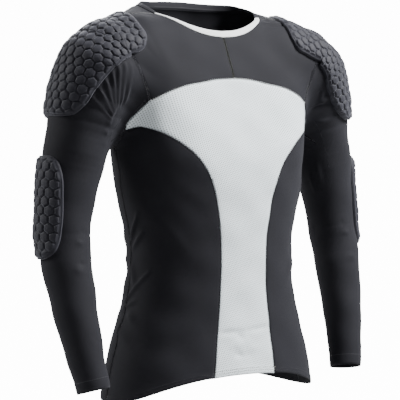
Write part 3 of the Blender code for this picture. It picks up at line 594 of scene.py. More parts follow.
def to_turns(p, front):
    """Turn about the spine, height or lift over its top, and reach from it."""
    y = -p[..., 1] if front else p[..., 1]
    across = np.hypot(p[..., 0], y)
    rise = p[..., 2] - SPINE_TOP
    lift = np.where(rise > 0, SPINE_REACH * np.arctan2(rise, across), rise)
    reach = np.where(rise > 0, np.hypot(across, rise), across)
    return np.stack([np.arctan2(p[..., 0], y), lift, reach], axis=-1)


def from_turns(q, front):
    """Points in space from turn, lift and reach."""
    tilt = np.maximum(q[..., 1], 0) / SPINE_REACH
    across = q[..., 2] * np.cos(tilt)
    z = SPINE_TOP + np.where(q[..., 1] > 0, q[..., 2] * np.sin(tilt), q[..., 1])
    y = across * np.cos(q[..., 0])
    return np.stack([across * np.sin(q[..., 0]), -y if front else y, z], axis=-1)


def blend(left, right, bottom, top, front=True):
    """Grid of points between four seam curves, laid on the form."""
    sides = [np.array(side) for side in (left, right, bottom, top)]
    left, right, bottom, top = (to_turns(side, front) for side in sides)
    v = np.linspace(0, 1, len(left))[:, None, None]
    u = np.linspace(0, 1, len(bottom))[None, :, None]
    grid = (1 - v) * bottom[None] + v * top[None] + (1 - u) * left[:, None] + u * right[:, None]
    grid -= (1 - v) * ((1 - u) * bottom[0] + u * bottom[-1])
    grid -= v * ((1 - u) * top[0] + u * top[-1])
    for _ in range(SMOOTHING_ROUNDS):
        beside = grid[:-2, 1:-1] + grid[2:, 1:-1] + grid[1:-1, :-2] + grid[1:-1, 2:]
        grid[1:-1, 1:-1] = beside / 4
    flat = grid.reshape(-1, 3)
    for _ in range(LAYING_ROUNDS):
        now = from_turns(flat, front)
        off = form(now)
        central = 1 - smooth_step(np.abs(now[:, 0]), *MIDDLE_ZONE)
        flat[:, 2] -= LAYING_SHARE * np.where(off > 0, off, off * central)
    grid = settle(from_turns(flat.reshape(grid.shape), front), 5)
    grid[:, 0], grid[:, -1], grid[0], grid[-1] = sides
    return grid


print("spine inside the chest ends at height", SPINE_TOP)

# %% Grids of the panels
strip_rise = np.linspace(0, 1, N_WING_ROWS + 1)
inner_wing = face_point(strip_edge[0, 0] + strip_rise * (arc_wing[0, 0] - strip_edge[0, 0]),
                        strip_edge[0, 2] + strip_rise * (arc_wing[0, 2] - strip_edge[0, 2]))
strip_side = np.vstack([strip_edge[::-1], inner_wing[1:]])
strip_low = np.vstack([mirrored(hem_strip)[::-1], hem_strip[1:]])
strip_top = np.vstack([mirrored(arc_strip)[::-1], arc_strip[1:]])
strip_grid = blend(mirrored(strip_side), strip_side, strip_low, strip_top)
wing_grid = blend(inner_wing, arm_wing[::-1], wing_low, arc_wing)
yoke_grid = blend(centre_seam, arm_yoke[::-1], arc_all, np.vstack([neck_front, shoulder[1:]]))
side_top = np.vstack([wing_low, arm_side[1:]])
side_grid = blend(strip_edge[::-1], side_seam[::-1], hem_side_front, side_top)
back_side = np.vstack([side_seam[::-1], arm_back[1:], shoulder[::-1][1:]])
back_top = np.vstack([mirrored(neck_back), neck_back[::-1][1:]])
back_low = np.vstack([mirrored(hem_back)[::-1], hem_back[1:]])
back_grid = blend(mirrored(back_side), back_side, back_low, back_top, False)
print("points in the back panel:", back_grid.shape[0] * back_grid.shape[1])

# %% [markdown]
# ## Sleeves
# A sleeve is one piece, closed under the arm, that starts at the armhole and narrows to the cuff.
# A bevelled curve would give a tube, but its top would miss the armhole. So rings of points slide
# along the arm's middle line: the first ring is the armhole seam itself, and the next ones turn
# round step by step.

# %% Sleeve's middle line
# the ring that is first fully round, the rings over which its points even out, and how much
# closer the rings stand near the armhole
ROUND_RING = 82
EVEN_RINGS = 60.0
NEAR_ARMHOLE = 0.5
PATH_STEPS = 800
SLEEVE_START = np.array([
    (0.190, 0.000, -0.135),
    (0.222, 0.004, -0.165),
    (0.247, 0.008, -0.205),
])
armhole = np.vstack([arm_yoke, arm_wing[1:], arm_side[1:], arm_back[1:]])
fine_path = along(np.vstack([SLEEVE_START, ARM[5:, :3]]), PATH_STEPS)
ring_share = np.linspace(0.0, 1.0, N_SLEEVE + 1)
ring_at = PATH_STEPS * (ring_share + NEAR_ARMHOLE * ring_share * (ring_share - 1))
path_at = np.arange(PATH_STEPS + 1)
sleeve_path = np.column_stack([np.interp(ring_at, path_at, fine_path[:, k]) for k in range(3)])
hub = armhole.mean(axis=0)
sleeve_path[0] = hub
reach = eased(ARM[:, [2, 3]], 1, sleeve_path[:, 2])
tangent = np.gradient(sleeve_path, axis=0)
tangent /= np.linalg.norm(tangent, axis=1)[:, None]
print("cuff radius, mm:", round(1000 * float(reach[-1])))

# %% Sleeve rings
spokes = armhole - hub
ahead = tangent[ROUND_RING]
across = np.array(SHOULDER_TIP) - hub
across -= (across @ ahead) * ahead
across /= np.linalg.norm(across)
turn = np.unwrap(np.arctan2(spokes @ np.cross(ahead, across), spokes @ across))
even = np.linspace(turn[0], turn[0] + 2 * math.pi * np.sign(turn[-1] - turn[0]), len(turn))
turn[-1] = even[-1]
rings = []
for k in range(N_SLEEVE + 1):
    u_dir = across - (across @ tangent[k]) * tangent[k]
    u_dir /= np.linalg.norm(u_dir)
    v_dir = np.cross(tangent[k], u_dir)
    mix = min(max((k - ROUND_RING) / EVEN_RINGS, 0.0), 1.0)
    angle = turn * (1 - mix) + even * mix
    ring = reach[k] * (np.cos(angle)[:, None] * u_dir + np.sin(angle)[:, None] * v_dir)
    share = smooth_step(k / ROUND_RING, 0.0, 1.0)
    rings.append(sleeve_path[k] + spokes * (1 - share) + ring * share)
sleeve_grid = settle(np.array(rings), 6)
sleeve_grid[0] = armhole
sleeve_grid[:, -1] = sleeve_grid[:, 0]
UNDERARM = N_YOKE + N_WING_ROWS + N_ARM_SIDE
print("points in a sleeve:", sleeve_grid.shape[0] * sleeve_grid.shape[1])

# %% [markdown]
# ## From points to cloth
# Knit for sport is under 1 mm thick. A Solidify modifier would do for one flat piece, but here the
# two faces are made together, so that hems can be doubled and the panels can sink a little into
# their seams. Each corner also gets a map coordinate in metres, measured along the cloth, so that a
# texture can count stitches in real sizes.

# %% Faces of the cloth
KNIT_WALL = 0.0009
SEAM_SINK = 0.0006
SEAM_WIDTH = 0.0028
HEM_RISE = 0.0005
HEM_EDGE = 0.0012


def edge_distance(grid, side):
    """Distance of each point from one edge of its grid, along the grid's lines."""
    lines = grid if side in "bt" else grid.swapaxes(0, 1)
    lines = lines if side in "bl" else lines[::-1]
    steps = np.linalg.norm(np.diff(lines, axis=0), axis=2)
    far = np.concatenate([np.zeros((1, lines.shape[1])), np.cumsum(steps, axis=0)])
    far = far if side in "bl" else far[::-1]
    return far if side in "bt" else far.T


def cloth_layers(grid, seams, hem, hem_depth):
    """Outer and inner points of a panel, and its map coordinates."""
    extra = np.zeros(grid.shape[:2])
    for side in seams:
        extra -= SEAM_SINK * np.exp(-(edge_distance(grid, side) / SEAM_WIDTH) ** 2)
    if hem:
        far = edge_distance(grid, hem)
        extra += HEM_RISE * (1 - smooth_step(far, hem_depth - HEM_EDGE, hem_depth + HEM_EDGE))
        extra -= HEM_RISE * (1 - smooth_step(far, 0.0, HEM_EDGE))
    outer, way = on_cloth(grid, extra)
    grain = np.stack([edge_distance(grid, "l"), edge_distance(grid, "b")], axis=-1)
    return outer, outer - KNIT_WALL * way, grain


print("cloth is", KNIT_WALL * 1000, "mm thick")

# %% Corner numbers of grids


def quads(rows, cols):
    """Corner numbers of the faces of a grid, in point order."""
    j, i = np.meshgrid(np.arange(rows - 1), np.arange(cols - 1), indexing="ij")
    first = (j * cols + i).ravel()
    return np.stack([first, first + 1, first + cols + 1, first + cols], axis=1)


def rim_walls(rows, cols, sides):
    """Faces that join a grid to its copy below it, along the chosen edges."""
    number = np.arange(rows * cols).reshape(rows, cols)
    lines = {"b": number[0], "r": number[:, -1], "t": number[-1, ::-1], "l": number[::-1, 0]}
    here = np.concatenate([lines[side][:-1] for side in sides])
    there = np.concatenate([lines[side][1:] for side in sides])
    return np.stack([there, here, here + rows * cols, there + rows * cols], axis=1)


print("faces of a grid of 3 by 3 points:", len(quads(3, 3)))

# %% Objects from points and faces
WELD = 0.00002


def new_piece(name, points, faces, material):
    """One object with its finish, from points and faces."""
    mesh = bpy.data.meshes.new(name)
    mesh.from_pydata(points.tolist(), [], faces)
    mesh.materials.append(material)
    piece = bpy.data.objects.new(name, mesh)
    bpy.context.scene.collection.objects.link(piece)
    return piece


def set_grain(mesh, grain):
    """Give each corner the map coordinate, in metres, of its point."""
    layer = mesh.uv_layers.get("grain") or mesh.uv_layers.new(name="grain")
    corners = np.empty(len(mesh.loops), np.int32)
    mesh.loops.foreach_get("vertex_index", corners)
    layer.data.foreach_set("uv", grain[corners].ravel().astype(np.float32))


def weld(mesh, reach):
    """Join points of a mesh that are closer than this, and turn its faces outwards."""
    made = bmesh.new()
    made.from_mesh(mesh)
    bmesh.ops.remove_doubles(made, verts=made.verts, dist=reach)
    bmesh.ops.recalc_face_normals(made, faces=made.faces)
    if made.calc_volume(signed=True) < 0:
        bmesh.ops.reverse_faces(made, faces=made.faces)
    made.to_mesh(mesh)
    made.free()


def mesh_piece(name, points, faces, grain, material):
    """One smooth piece of cloth from points, faces and map coordinates for each point."""
    piece = new_piece(name, points, faces.tolist(), material)
    set_grain(piece.data, grain)
    weld(piece.data, WELD)
    piece.data.polygons.foreach_set("use_smooth", np.ones(len(piece.data.polygons), bool))
    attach(piece, "root")
    print(name, "has", len(piece.data.polygons), "faces")
    return piece


def cloth_piece(name, grid, material, seams, hem=None, hem_depth=0.0, ring=False):
    """A panel of cloth from one grid; a ring is open at both ends and joined along its length."""
    rows, cols = grid.shape[:2]
    outer, inner, grain = cloth_layers(grid, seams, hem, hem_depth)
    flat = quads(rows, cols)
    points = np.vstack([outer.reshape(-1, 3), inner.reshape(-1, 3)])
    rims = rim_walls(rows, cols, "bt" if ring else "brtl")
    faces = np.vstack([flat, rows * cols + flat[:, ::-1], rims])
    return mesh_piece(name, points, faces, np.vstack([grain.reshape(-1, 2)] * 2), material)


print("points closer than", WELD * 1000, "mm are joined")

# %% [markdown]
# ## Finishes
# Every colour is written as the sRGB hex value that a colour picker gives, and one function turns
# it to the linear numbers that a shader wants. One more function adds a node with its settings and
# links, so that each finish reads like a short recipe.

# %% Colour and node helpers


def colour(text):
    """Linear red, green, blue and alpha of an sRGB hex colour."""
    parts = [int(text[k:k + 2], 16) / 255 for k in (1, 3, 5)]
    return (*[c / 12.92 if c <= 0.04045 else ((c + 0.055) / 1.055) ** 2.4 for c in parts], 1.0)


def add(tree, kind, inputs=None, **settings):
    """Add one node; a value that is a socket is linked, and any other is set."""
    made = tree.nodes.new(kind)
    for name, value in settings.items():
        setattr(made, name, value)
    for name, value in (inputs or {}).items():
        if isinstance(value, bpy.types.NodeSocket):
            tree.links.new(value, made.inputs[name])
        else:
            made.inputs[name].default_value = value
    return made


def finish(name):
    """A new material, its tree and its shader."""
    material = bpy.data.materials.new(name)
    material.use_nodes = True
    tree = material.node_tree
    return material, tree, tree.nodes["Principled BSDF"]


def show_on(tree, shader, tone, bump):
    """Link a finish's colour and relief to its shader."""
    tree.links.new(tone, shader.inputs["Base Color"])
    tree.links.new(bump, shader.inputs["Normal"])


print("helpers ready; middle grey is", [round(c, 3) for c in colour("#808080")[:3]])

# %% [markdown]
# ## Knitted polyester-elastane jersey
# The dark cloth is a fine jersey: loops in columns about 0.5 mm apart, dyed black. It gives the eye
# a smooth matt face with a soft sheen where it turns away. A scanned image could be laid on it, but
# loops worked out from the map keep one size on every panel. The columns are drawn 1.6 mm apart,
# because real ones would be finer than a pixel.

# %% Jersey recipe
KNIT_PITCH = 0.0016


def knit_relief(tree, place, pitch):
    """Height of knitted loops: slanted halves that meet in each column like small arrows."""
    scaled = add(tree, "ShaderNodeVectorMath", {0: place, "Scale": 1 / pitch},
                 operation="SCALE")
    parts = add(tree, "ShaderNodeSeparateXYZ", {0: scaled.outputs[0]})
    column = add(tree, "ShaderNodeMath", {0: parts.outputs["X"]}, operation="FRACT")
    centred = add(tree, "ShaderNodeMath", {0: column.outputs[0], 1: 0.5}, operation="SUBTRACT")
    slant = add(tree, "ShaderNodeMath", {0: centred.outputs[0]}, operation="ABSOLUTE")
    rise = add(tree, "ShaderNodeMath", {0: parts.outputs["Y"], 1: slant.outputs[0]},
               operation="ADD")
    angle = add(tree, "ShaderNodeMath", {0: rise.outputs[0], 1: 2 * math.pi},
                operation="MULTIPLY")
    return add(tree, "ShaderNodeMath", {0: angle.outputs[0]}, operation="SINE").outputs[0]


def jersey(name, light, dark, rough, sheen, pitch=KNIT_PITCH):
    """Dyed jersey: two close tones in the loops, and a slow change of tone over the panel."""
    material, tree, shader = finish(name)
    place = add(tree, "ShaderNodeUVMap", uv_map="grain").outputs["UV"]
    where = add(tree, "ShaderNodeTexCoord").outputs["Object"]
    loops = knit_relief(tree, place, pitch)
    share = add(tree, "ShaderNodeMapRange", {"Value": loops, "From Min": -1.0, "From Max": 1.0})
    cloudy = add(tree, "ShaderNodeTexNoise", {"Vector": where, "Scale": 14.0, "Detail": 3.0})
    both = add(tree, "ShaderNodeMath", {0: share.outputs[0], 1: cloudy.outputs["Fac"]},
               operation="MULTIPLY")
    tone = add(tree, "ShaderNodeMix",
               {"Factor": both.outputs[0], "A": colour(dark), "B": colour(light)},
               data_type="RGBA")
    fuzz = add(tree, "ShaderNodeTexNoise", {"Vector": where, "Scale": 900.0, "Detail": 2.0})
    height = add(tree, "ShaderNodeMath", {0: loops, 1: fuzz.outputs["Fac"]}, operation="ADD")
    bump = add(tree, "ShaderNodeBump",
               {"Height": height.outputs[0], "Strength": 0.18, "Distance": 0.0004})
    show_on(tree, shader, tone.outputs["Result"], bump.outputs[0])
    shader.inputs["Roughness"].default_value = rough
    shader.inputs["IOR"].default_value = 1.50
    shader.inputs["Specular IOR Level"].default_value = 0.18
    shader.inputs["Sheen Weight"].default_value = sheen
    shader.inputs["Sheen Roughness"].default_value = 0.45
    shader.inputs["Sheen Tint"].default_value = colour("#d4d6e2")
    return material


print("jersey columns are", KNIT_PITCH * 1000, "mm apart")

# %% [markdown]
# ## Four knits from one recipe
# The body is black jersey. The neck tapes are the same knit, narrower and finer, dark behind and
# white in front. The pads are covered in a brushed knit, dyed a little paler, and its sheen shows
# every cell to the eye. Four separate recipes would repeat the same nodes, so only the tones, the
# roughness, the sheen and the size of the loops differ. The finer loops are drawn 1.2 mm apart,
# coarser than the real 0.4 mm.

# %% Black jersey, neck tapes and pad cover
FINE_PITCH = 0.0012
BLACK_JERSEY = jersey("black_jersey", "#1f1f25", "#15151a", 0.80, 0.08)
DARK_TAPE = jersey("dark_neck_tape", "#212127", "#16161b", 0.80, 0.10, FINE_PITCH)
PALE_TAPE = jersey("pale_neck_tape", "#f8f8f8", "#eceded", 0.75, 0.10, FINE_PITCH)
PAD_COVER = jersey("foam_pad_cover", "#2d2d36", "#1c1c22", 0.62, 0.34, FINE_PITCH)
print("knits:", [knit.name for knit in (BLACK_JERSEY, DARK_TAPE, PALE_TAPE, PAD_COVER)])

# %% [markdown]
# ## Warp-knit mesh
# The pale panel is a warp knit with rows of tiny holes set like a honeycomb, about 2.5 mm apart.
# Holes that small can't be cut into a panel this large, so three waves at 60 degrees to each other
# make the honeycomb in the finish. It darkens the holes, where the light is lost, and dents them.
# They are drawn 3.6 mm apart, because two pixels is the finest pattern that a picture can hold.

# %% Honeycomb of holes
HOLE_PITCH = 0.0036
WAVE_TURNS = (15, 75, 135)
PALE_MESH, mesh_tree, mesh_shader = finish("pale_warp_knit")


def wave_of(tree, place, across, up):
    """Cosine of a place on the map, with so many waves a metre across and up."""
    turned = add(tree, "ShaderNodeVectorMath", {0: place, 1: (across, up, 0.0)},
                 operation="DOT_PRODUCT")
    angle = add(tree, "ShaderNodeMath", {0: turned.outputs["Value"], 1: 2 * math.pi},
                operation="MULTIPLY")
    return add(tree, "ShaderNodeMath", {0: angle.outputs[0]}, operation="COSINE").outputs[0]


mesh_place = add(mesh_tree, "ShaderNodeUVMap", uv_map="grain").outputs["UV"]
mesh_where = add(mesh_tree, "ShaderNodeTexCoord").outputs["Object"]
rows_per_metre = 1 / (HOLE_PITCH * math.cos(math.radians(30)))
waves = []
for degrees in WAVE_TURNS:
    waves.append(wave_of(mesh_tree, mesh_place, rows_per_metre * math.cos(math.radians(degrees)),
                         rows_per_metre * math.sin(math.radians(degrees))))
pair = add(mesh_tree, "ShaderNodeMath", {0: waves[0], 1: waves[1]}, operation="ADD")
honeycomb = add(mesh_tree, "ShaderNodeMath", {0: pair.outputs[0], 1: waves[2]}, operation="ADD")
hole = add(mesh_tree, "ShaderNodeMapRange",
           {"Value": honeycomb.outputs[0], "From Min": 0.2, "From Max": 2.6},
           interpolation_type="SMOOTHSTEP")
print("holes are", HOLE_PITCH * 1000, "mm apart")

# %% Pale warp knit
# the yarn is nearly white, and the holes are grey because the light is lost in them
soft_tone = add(mesh_tree, "ShaderNodeTexNoise",
                {"Vector": mesh_where, "Scale": 9.0, "Detail": 2.0})
yarn = add(mesh_tree, "ShaderNodeMix",
           {"Factor": soft_tone.outputs["Fac"], "A": colour("#e0eaef"), "B": colour("#eef6fa")},
           data_type="RGBA")
holes = add(mesh_tree, "ShaderNodeMix",
            {"Factor": hole.outputs[0], "A": yarn.outputs["Result"], "B": colour("#838f92")},
            data_type="RGBA")
dent = add(mesh_tree, "ShaderNodeMath", {0: hole.outputs[0], 1: -1.0}, operation="MULTIPLY")
mesh_bump = add(mesh_tree, "ShaderNodeBump",
                {"Height": dent.outputs[0], "Strength": 0.6, "Distance": 0.0006})
show_on(mesh_tree, mesh_shader, holes.outputs["Result"], mesh_bump.outputs[0])
mesh_shader.inputs["Roughness"].default_value = 0.75
mesh_shader.inputs["IOR"].default_value = 1.50
print("nodes in the pale mesh:", len(mesh_tree.nodes))

# %% [markdown]
# ## Thread
# Seams on this kind of shirt are sewn flat with twisted polyester thread, which is a little
# glossier than the cloth. The twist could be modelled, but at this size bands of painted shade give
# the same look. Thread is made in three colours: black, an olive grey for the front seam and the
# pale hem, and white.

# %% Thread finish
# painted shade: the twist's darker bands are the thread's colour times this
TWIST_SHADE = 0.75


def thread_finish(name, tone):
    """Twisted thread: its colour, bands of painted shade along the twist, and a mild gloss."""
    material, tree, shader = finish(name)
    where = add(tree, "ShaderNodeTexCoord").outputs["Object"]
    twist = add(tree, "ShaderNodeTexWave", {"Vector": where, "Scale": 700.0, "Distortion": 1.0})
    bump = add(tree, "ShaderNodeBump",
               {"Height": twist.outputs["Fac"], "Strength": 0.3, "Distance": 0.0002})
    # painted shade: bands along the twist mix the thread's colour with a darker copy of it
    lit = colour(tone)
    shaded = (*[TWIST_SHADE * c for c in lit[:3]], 1.0)
    tones = add(tree, "ShaderNodeMix", {"Factor": twist.outputs["Fac"], "A": lit, "B": shaded},
                data_type="RGBA")
    show_on(tree, shader, tones.outputs["Result"], bump.outputs[0])
    shader.inputs["Roughness"].default_value = 0.45
    shader.inputs["IOR"].default_value = 1.55
    return material


BLACK_THREAD = thread_finish("black_polyester_thread", "#34343a")
GREY_THREAD = thread_finish("olive_grey_polyester_thread", "#6c6d64")
WHITE_THREAD = thread_finish("white_polyester_thread", "#e8ebeb")
print("threads:", BLACK_THREAD.name, GREY_THREAD.name, WHITE_THREAD.name)

# %% [markdown]
# ## The panels
# Now each panel is made on its solid's place and takes that solid's part in the picture. A
# compression shirt is cut smaller than the body and stretches about a tenth each way as it is put
# on, so each flat cut is smaller than the cloth that shows. The hem and the cuffs are turned in.

# %% Yokes, side fronts, sleeves and back
HEM_DEPTH = 0.013
CUFF_DEPTH = 0.020
HALVES = {"left": np.array, "right": mirrored}
shown = {}
for word, half in HALVES.items():
    name = "front_yoke_" + word
    shown[name] = cloth_piece(name + "_cloth", half(yoke_grid), BLACK_JERSEY, "lrbt")
    name = "side_front_" + word
    shown[name] = cloth_piece(name + "_cloth", half(side_grid), BLACK_JERSEY,
                              "lrt", "b", HEM_DEPTH)
    name = "sleeve_" + word
    shown[name] = cloth_piece(name + "_cloth", half(sleeve_grid)[::-1], BLACK_JERSEY,
                              "t", "b", CUFF_DEPTH, True)
shown["back_panel"] = cloth_piece("back_panel_cloth", back_grid, BLACK_JERSEY,
                                  "lrt", "b", HEM_DEPTH)

# %% [markdown]
# ## The pale front panel
# This panel is cut in one: a strip down the front and two wings across the chest. One grid can't
# follow both without pinching, so four grids are made, joined and welded into one cloth. The map
# then runs round the trunk and up, which keeps the honeycomb whole across the joins.

# %% Pale front panel
TRUNK_RADIUS = 0.125
PANEL_WELD = 0.0004


def pale_panel():
    """The strip and its two wings as one piece of mesh."""
    points = []
    faces = []
    start = 0
    grids = (strip_grid[:N_SIDE + 1], strip_grid[N_SIDE:], wing_grid, mirrored(wing_grid))
    for grid, seams, rims in zip(grids, ("lr", "t", "rbt", "rbt"), ("lrb", "t", "rbt", "rbt")):
        rows, cols = grid.shape[:2]
        outer, inner, _ = cloth_layers(grid, seams, "b" if seams == "lr" else None, HEM_DEPTH)
        points += [outer.reshape(-1, 3), inner.reshape(-1, 3)]
        flat = quads(rows, cols)
        under = rows * cols + flat[:, ::-1]
        faces += [start + flat, start + under, start + rim_walls(rows, cols, rims)]
        start += 2 * rows * cols
    points = np.vstack(points)
    return mesh_piece("front_mesh_panel_cloth", points, np.vstack(faces), points[:, [0, 2]],
                      PALE_MESH)


def join_grids(mesh):
    """Close the joins between the grids, and run the map coordinates on across them."""
    made = bmesh.new()
    made.from_mesh(mesh)
    bmesh.ops.remove_doubles(made, verts=made.verts, dist=PANEL_WELD)
    made.to_mesh(mesh)
    made.free()
    points = np.empty(len(mesh.vertices) * 3)
    mesh.vertices.foreach_get("co", points)
    x, y, z = points.reshape(-1, 3).T
    set_grain(mesh, np.column_stack([np.arctan2(x, -y) * TRUNK_RADIUS, z]))


shown["front_mesh_panel"] = pale_panel()
join_grids(shown["front_mesh_panel"].data)
print("pale panel joined:", len(shown["front_mesh_panel"].data.vertices), "points")

# %% [markdown]
# ## Neck tapes
# The neckline is bound with a folded tape: white across the front, dark round the back. A bevelled
# curve would give it a round section. This tape is a flat tube instead: its section is a thin
# rounded bar that laps over the panel and runs to the tape's own free edge.

# %% Neck tapes
TAPE_RISE = 0.0011
TAPE_WALL = 0.0017
# the tape's share that laps over the panel, and the share that lies on the form
TAPE_LAP = 0.20
TAPE_LAID = 0.2
TAPE_ROWS = 11
TAPE_LIFT = 0.0002


def tape_piece(name, table, low, count, material):
    """Folded tape that laps over a neckline and ends on its own free edge."""
    free = along(table[:, 3:], count)
    share = np.linspace(-TAPE_LAP, 1.0, TAPE_ROWS)
    half = low[None] + share[:, None, None] * (free - low)[None]
    half[share < TAPE_LAID] = settle(half[share < TAPE_LAID], 3)
    if table is NECK_BACK:
        whole = np.concatenate([half, mirrored(half)[:, ::-1][:, 1:]], axis=1)
        edge = np.concatenate([low, mirrored(low)[::-1][1:]])
    else:
        whole = np.concatenate([mirrored(half)[:, ::-1], half[:, 1:]], axis=1)
        edge = np.concatenate([mirrored(low)[::-1], low[1:]])
    _, way = on_cloth(whole)
    stand = cloth_height(edge)[None, :, None] + TAPE_LIFT
    over = 2 * (share + TAPE_LAP) / (1 + TAPE_LAP) - 1
    crown = np.sqrt(np.maximum(1 - over ** 2, 0.0))[:, None, None]
    outer = whole + (stand + TAPE_RISE * crown) * way
    inner = whole + (stand - TAPE_WALL * crown) * way
    loop = np.concatenate([outer, inner[::-1][1:-1], outer[:1]], axis=0)
    grain = np.stack([edge_distance(loop, "l"), edge_distance(loop, "b")], axis=-1)
    piece = mesh_piece(name, loop.reshape(-1, 3), quads(*loop.shape[:2]), grain.reshape(-1, 2),
                       material)
    close_ends(piece.data)
    return piece


def close_ends(mesh):
    """Fill the two open ends of a tube."""
    made = bmesh.new()
    made.from_mesh(mesh)
    bmesh.ops.holes_fill(made, edges=[e for e in made.edges if e.is_boundary], sides=40)
    made.to_mesh(mesh)
    made.free()


shown["neck_binding_front"] = tape_piece("front_neck_tape", NECK_FRONT, neck_front, N_NECK,
                                         PALE_TAPE)
shown["neck_binding_back"] = tape_piece("back_neck_tape", NECK_BACK, neck_back, N_NAPE,
                                        DARK_TAPE)

# %% [markdown]
# ## Foam pads
# Each pad is a sheet of foam pressed into six-sided cells under a knit cover, with a thin raised
# rim. Modelling every cell as its own block would leave hard gaps. A height over the pad's own flat
# chart is better: it is worked out from the distance to the nearest groove and to the pad's edge.

# %% Pad sizes
# cells this wide across their flats; heights are over the cloth, and the shoulder is the width
# of the curve at each cell's edge
CELL = 0.0172
GROOVE_HEIGHT = 0.0060
CELL_HEIGHT = 0.0084
CELL_CROWN = 0.0005
GROOVE_HALF = 0.0005
CELL_SHOULDER = 0.0023
RIM_HEIGHT = 0.0050
RIM_WIDTH = 0.0036
RIM_MARGIN = 0.0042
SHOULDER_STATIONS = np.array([
    # inside point x, y, z, then the way out at the pad's middle line x, y, z
    (0.146, 0.006, -0.095, 0.00, -0.45, 0.90),
    (0.176, 0.006, -0.105, 0.05, -0.45, 0.89),
    (0.192, 0.005, -0.120, 0.40, -0.50, 0.77),
    (0.202, 0.005, -0.132, 0.68, -0.52, 0.52),
    (0.216, 0.005, -0.146, 0.83, -0.50, 0.26),
    (0.236, 0.007, -0.180, 0.86, -0.47, 0.20),
    (0.254, 0.010, -0.225, 0.87, -0.45, 0.18),
])
ELBOW_STATIONS = np.array([
    (0.264, 0.011, -0.245, 0.95, 0.26, 0.20),
    (0.278, 0.012, -0.310, 0.95, 0.26, 0.17),
    (0.286, 0.010, -0.360, 0.96, 0.26, 0.12),
    (0.290, 0.007, -0.400, 0.97, 0.26, 0.05),
    (0.2915, -0.001, -0.435, 0.97, 0.26, 0.0),
    (0.290, -0.010, -0.470, 0.97, 0.24, -0.08),
])
print("cells are", round(CELL * 1000, 1), "mm across")

# %% Pad outlines
# in mm: along the chart, round it to the front
SHOULDER_BACK = [
    (258, -76), (248, -86), (225, -97), (174, -108),
    (103, -116), (47, -116), (28, -108), (20, -92),
]
SHOULDER_RIGHT = [
    (22, -60), (23, -28), (23, 16), (20, 40), (28, 55),
    (47, 61), (75, 58), (103, 54), (140, 50), (174, 44),
    (205, 37), (235, 29), (252, 16), (258, -5), (258, -40),
]
SHOULDER_LEFT = [
    (8, -60), (4, -28), (3, 10), (3, 38), (10, 54), (28, 58),
    (52, 61), (89, 62), (116, 68), (150, 76), (185, 78), (215, 72),
    (240, 58), (254, 38), (259, 10), (259, -40),
]
ELBOW_FRONT = [
    (27, 12), (29, 32), (36, 45), (49, 52), (66, 56), (91, 57),
    (119, 57), (148, 55), (172, 50), (187, 42), (198, 27), (203, 9),
]
ELBOW = ELBOW_FRONT + [(p, -q) for p, q in reversed(ELBOW_FRONT)]
print("elbow pad, mm:", ELBOW_FRONT[-1][0] - ELBOW_FRONT[0][0])

# %% A pad's flat chart
# the chart turns this far each way round its middle line, in radians
SPREAD = 2.0
CHART_ROWS = 30
CHART_COLUMNS = 61
CHART_REACH = 0.16
CHART_HALVINGS = 20


class Chart:
    """Flat sizes on a bent tube: p runs along its middle line and q round it to the front."""

    def __init__(self, stations):
        path = along(stations, CHART_ROWS)
        turn = np.linspace(-SPREAD, SPREAD, CHART_COLUMNS)
        rows = []
        for start in path:
            out = start[3:] / np.linalg.norm(start[3:])
            front = np.cross(out, np.cross(np.array([0.0, -1.0, 0.0]), out))
            front /= np.linalg.norm(front)
            way = np.cos(turn)[:, None] * out + np.sin(turn)[:, None] * front
            near = np.zeros(len(turn))
            far = np.full(len(turn), CHART_REACH)
            for _ in range(CHART_HALVINGS):
                middle = (near + far) / 2
                within = form(start[:3] + middle[:, None] * way) < 0
                near = np.where(within, middle, near)
                far = np.where(within, far, middle)
            rows.append(start[:3] + near[:, None] * way)
        self.grid = np.array(rows)
        centre = len(turn) // 2
        steps = np.linalg.norm(np.diff(self.grid[:, centre], axis=0), axis=1)
        self.p = np.concatenate([[0.0], np.cumsum(steps)])
        arc = np.linalg.norm(np.diff(self.grid, axis=1), axis=2)
        arc = np.concatenate([np.zeros((len(path), 1)), np.cumsum(arc, axis=1)], axis=1)
        self.q = arc - arc[:, centre:centre + 1]

    def place(self, flat):
        """Points of the form at these p, q."""
        at = np.interp(flat[:, 0], self.p, np.arange(len(self.p)))
        low = np.clip(at.astype(int), 0, len(self.p) - 2)
        share = (at - low)[:, None]
        points = np.zeros((len(flat), 3))
        for row in range(len(self.p)):
            for pick, weight in ((low == row, 1 - share), (low + 1 == row, share)):
                if pick.any():
                    spot = [np.interp(flat[pick, 1], self.q[row], self.grid[row, :, k])
                            for k in range(3)]
                    points[pick] += weight[pick] * np.column_stack(spot)
        return settle(points, 2)


shoulder_chart = Chart(SHOULDER_STATIONS)
elbow_chart = Chart(ELBOW_STATIONS)
print("shoulder chart, mm:", round(shoulder_chart.p[-1] * 1000))
print("elbow chart, mm:", round(elbow_chart.p[-1] * 1000))

# %% Cell relief
SWELL_POWER = 0.9
RIM_CREST = 0.35


def groove_distance(flat):
    """Distance from each flat point to the nearest groove of the six-sided cells."""
    row_step = CELL * math.sqrt(3) / 2
    nearest = np.full(len(flat), -1.0)
    row = np.floor(flat[:, 0] / row_step)
    for shift in (0, 1):
        j = row + shift
        i = np.round(flat[:, 1] / CELL - (j % 2) / 2)
        away = flat - np.column_stack([j * row_step, (i + (j % 2) / 2) * CELL])
        reach_to = np.abs(away[:, 1])
        for angle in (30, -30):
            turn = math.radians(angle)
            axis = np.array([math.cos(turn), math.sin(turn)])
            reach_to = np.maximum(reach_to, np.abs(away @ axis))
        nearest = np.maximum(nearest, CELL / 2 - reach_to)
    return np.maximum(nearest, 0.0)


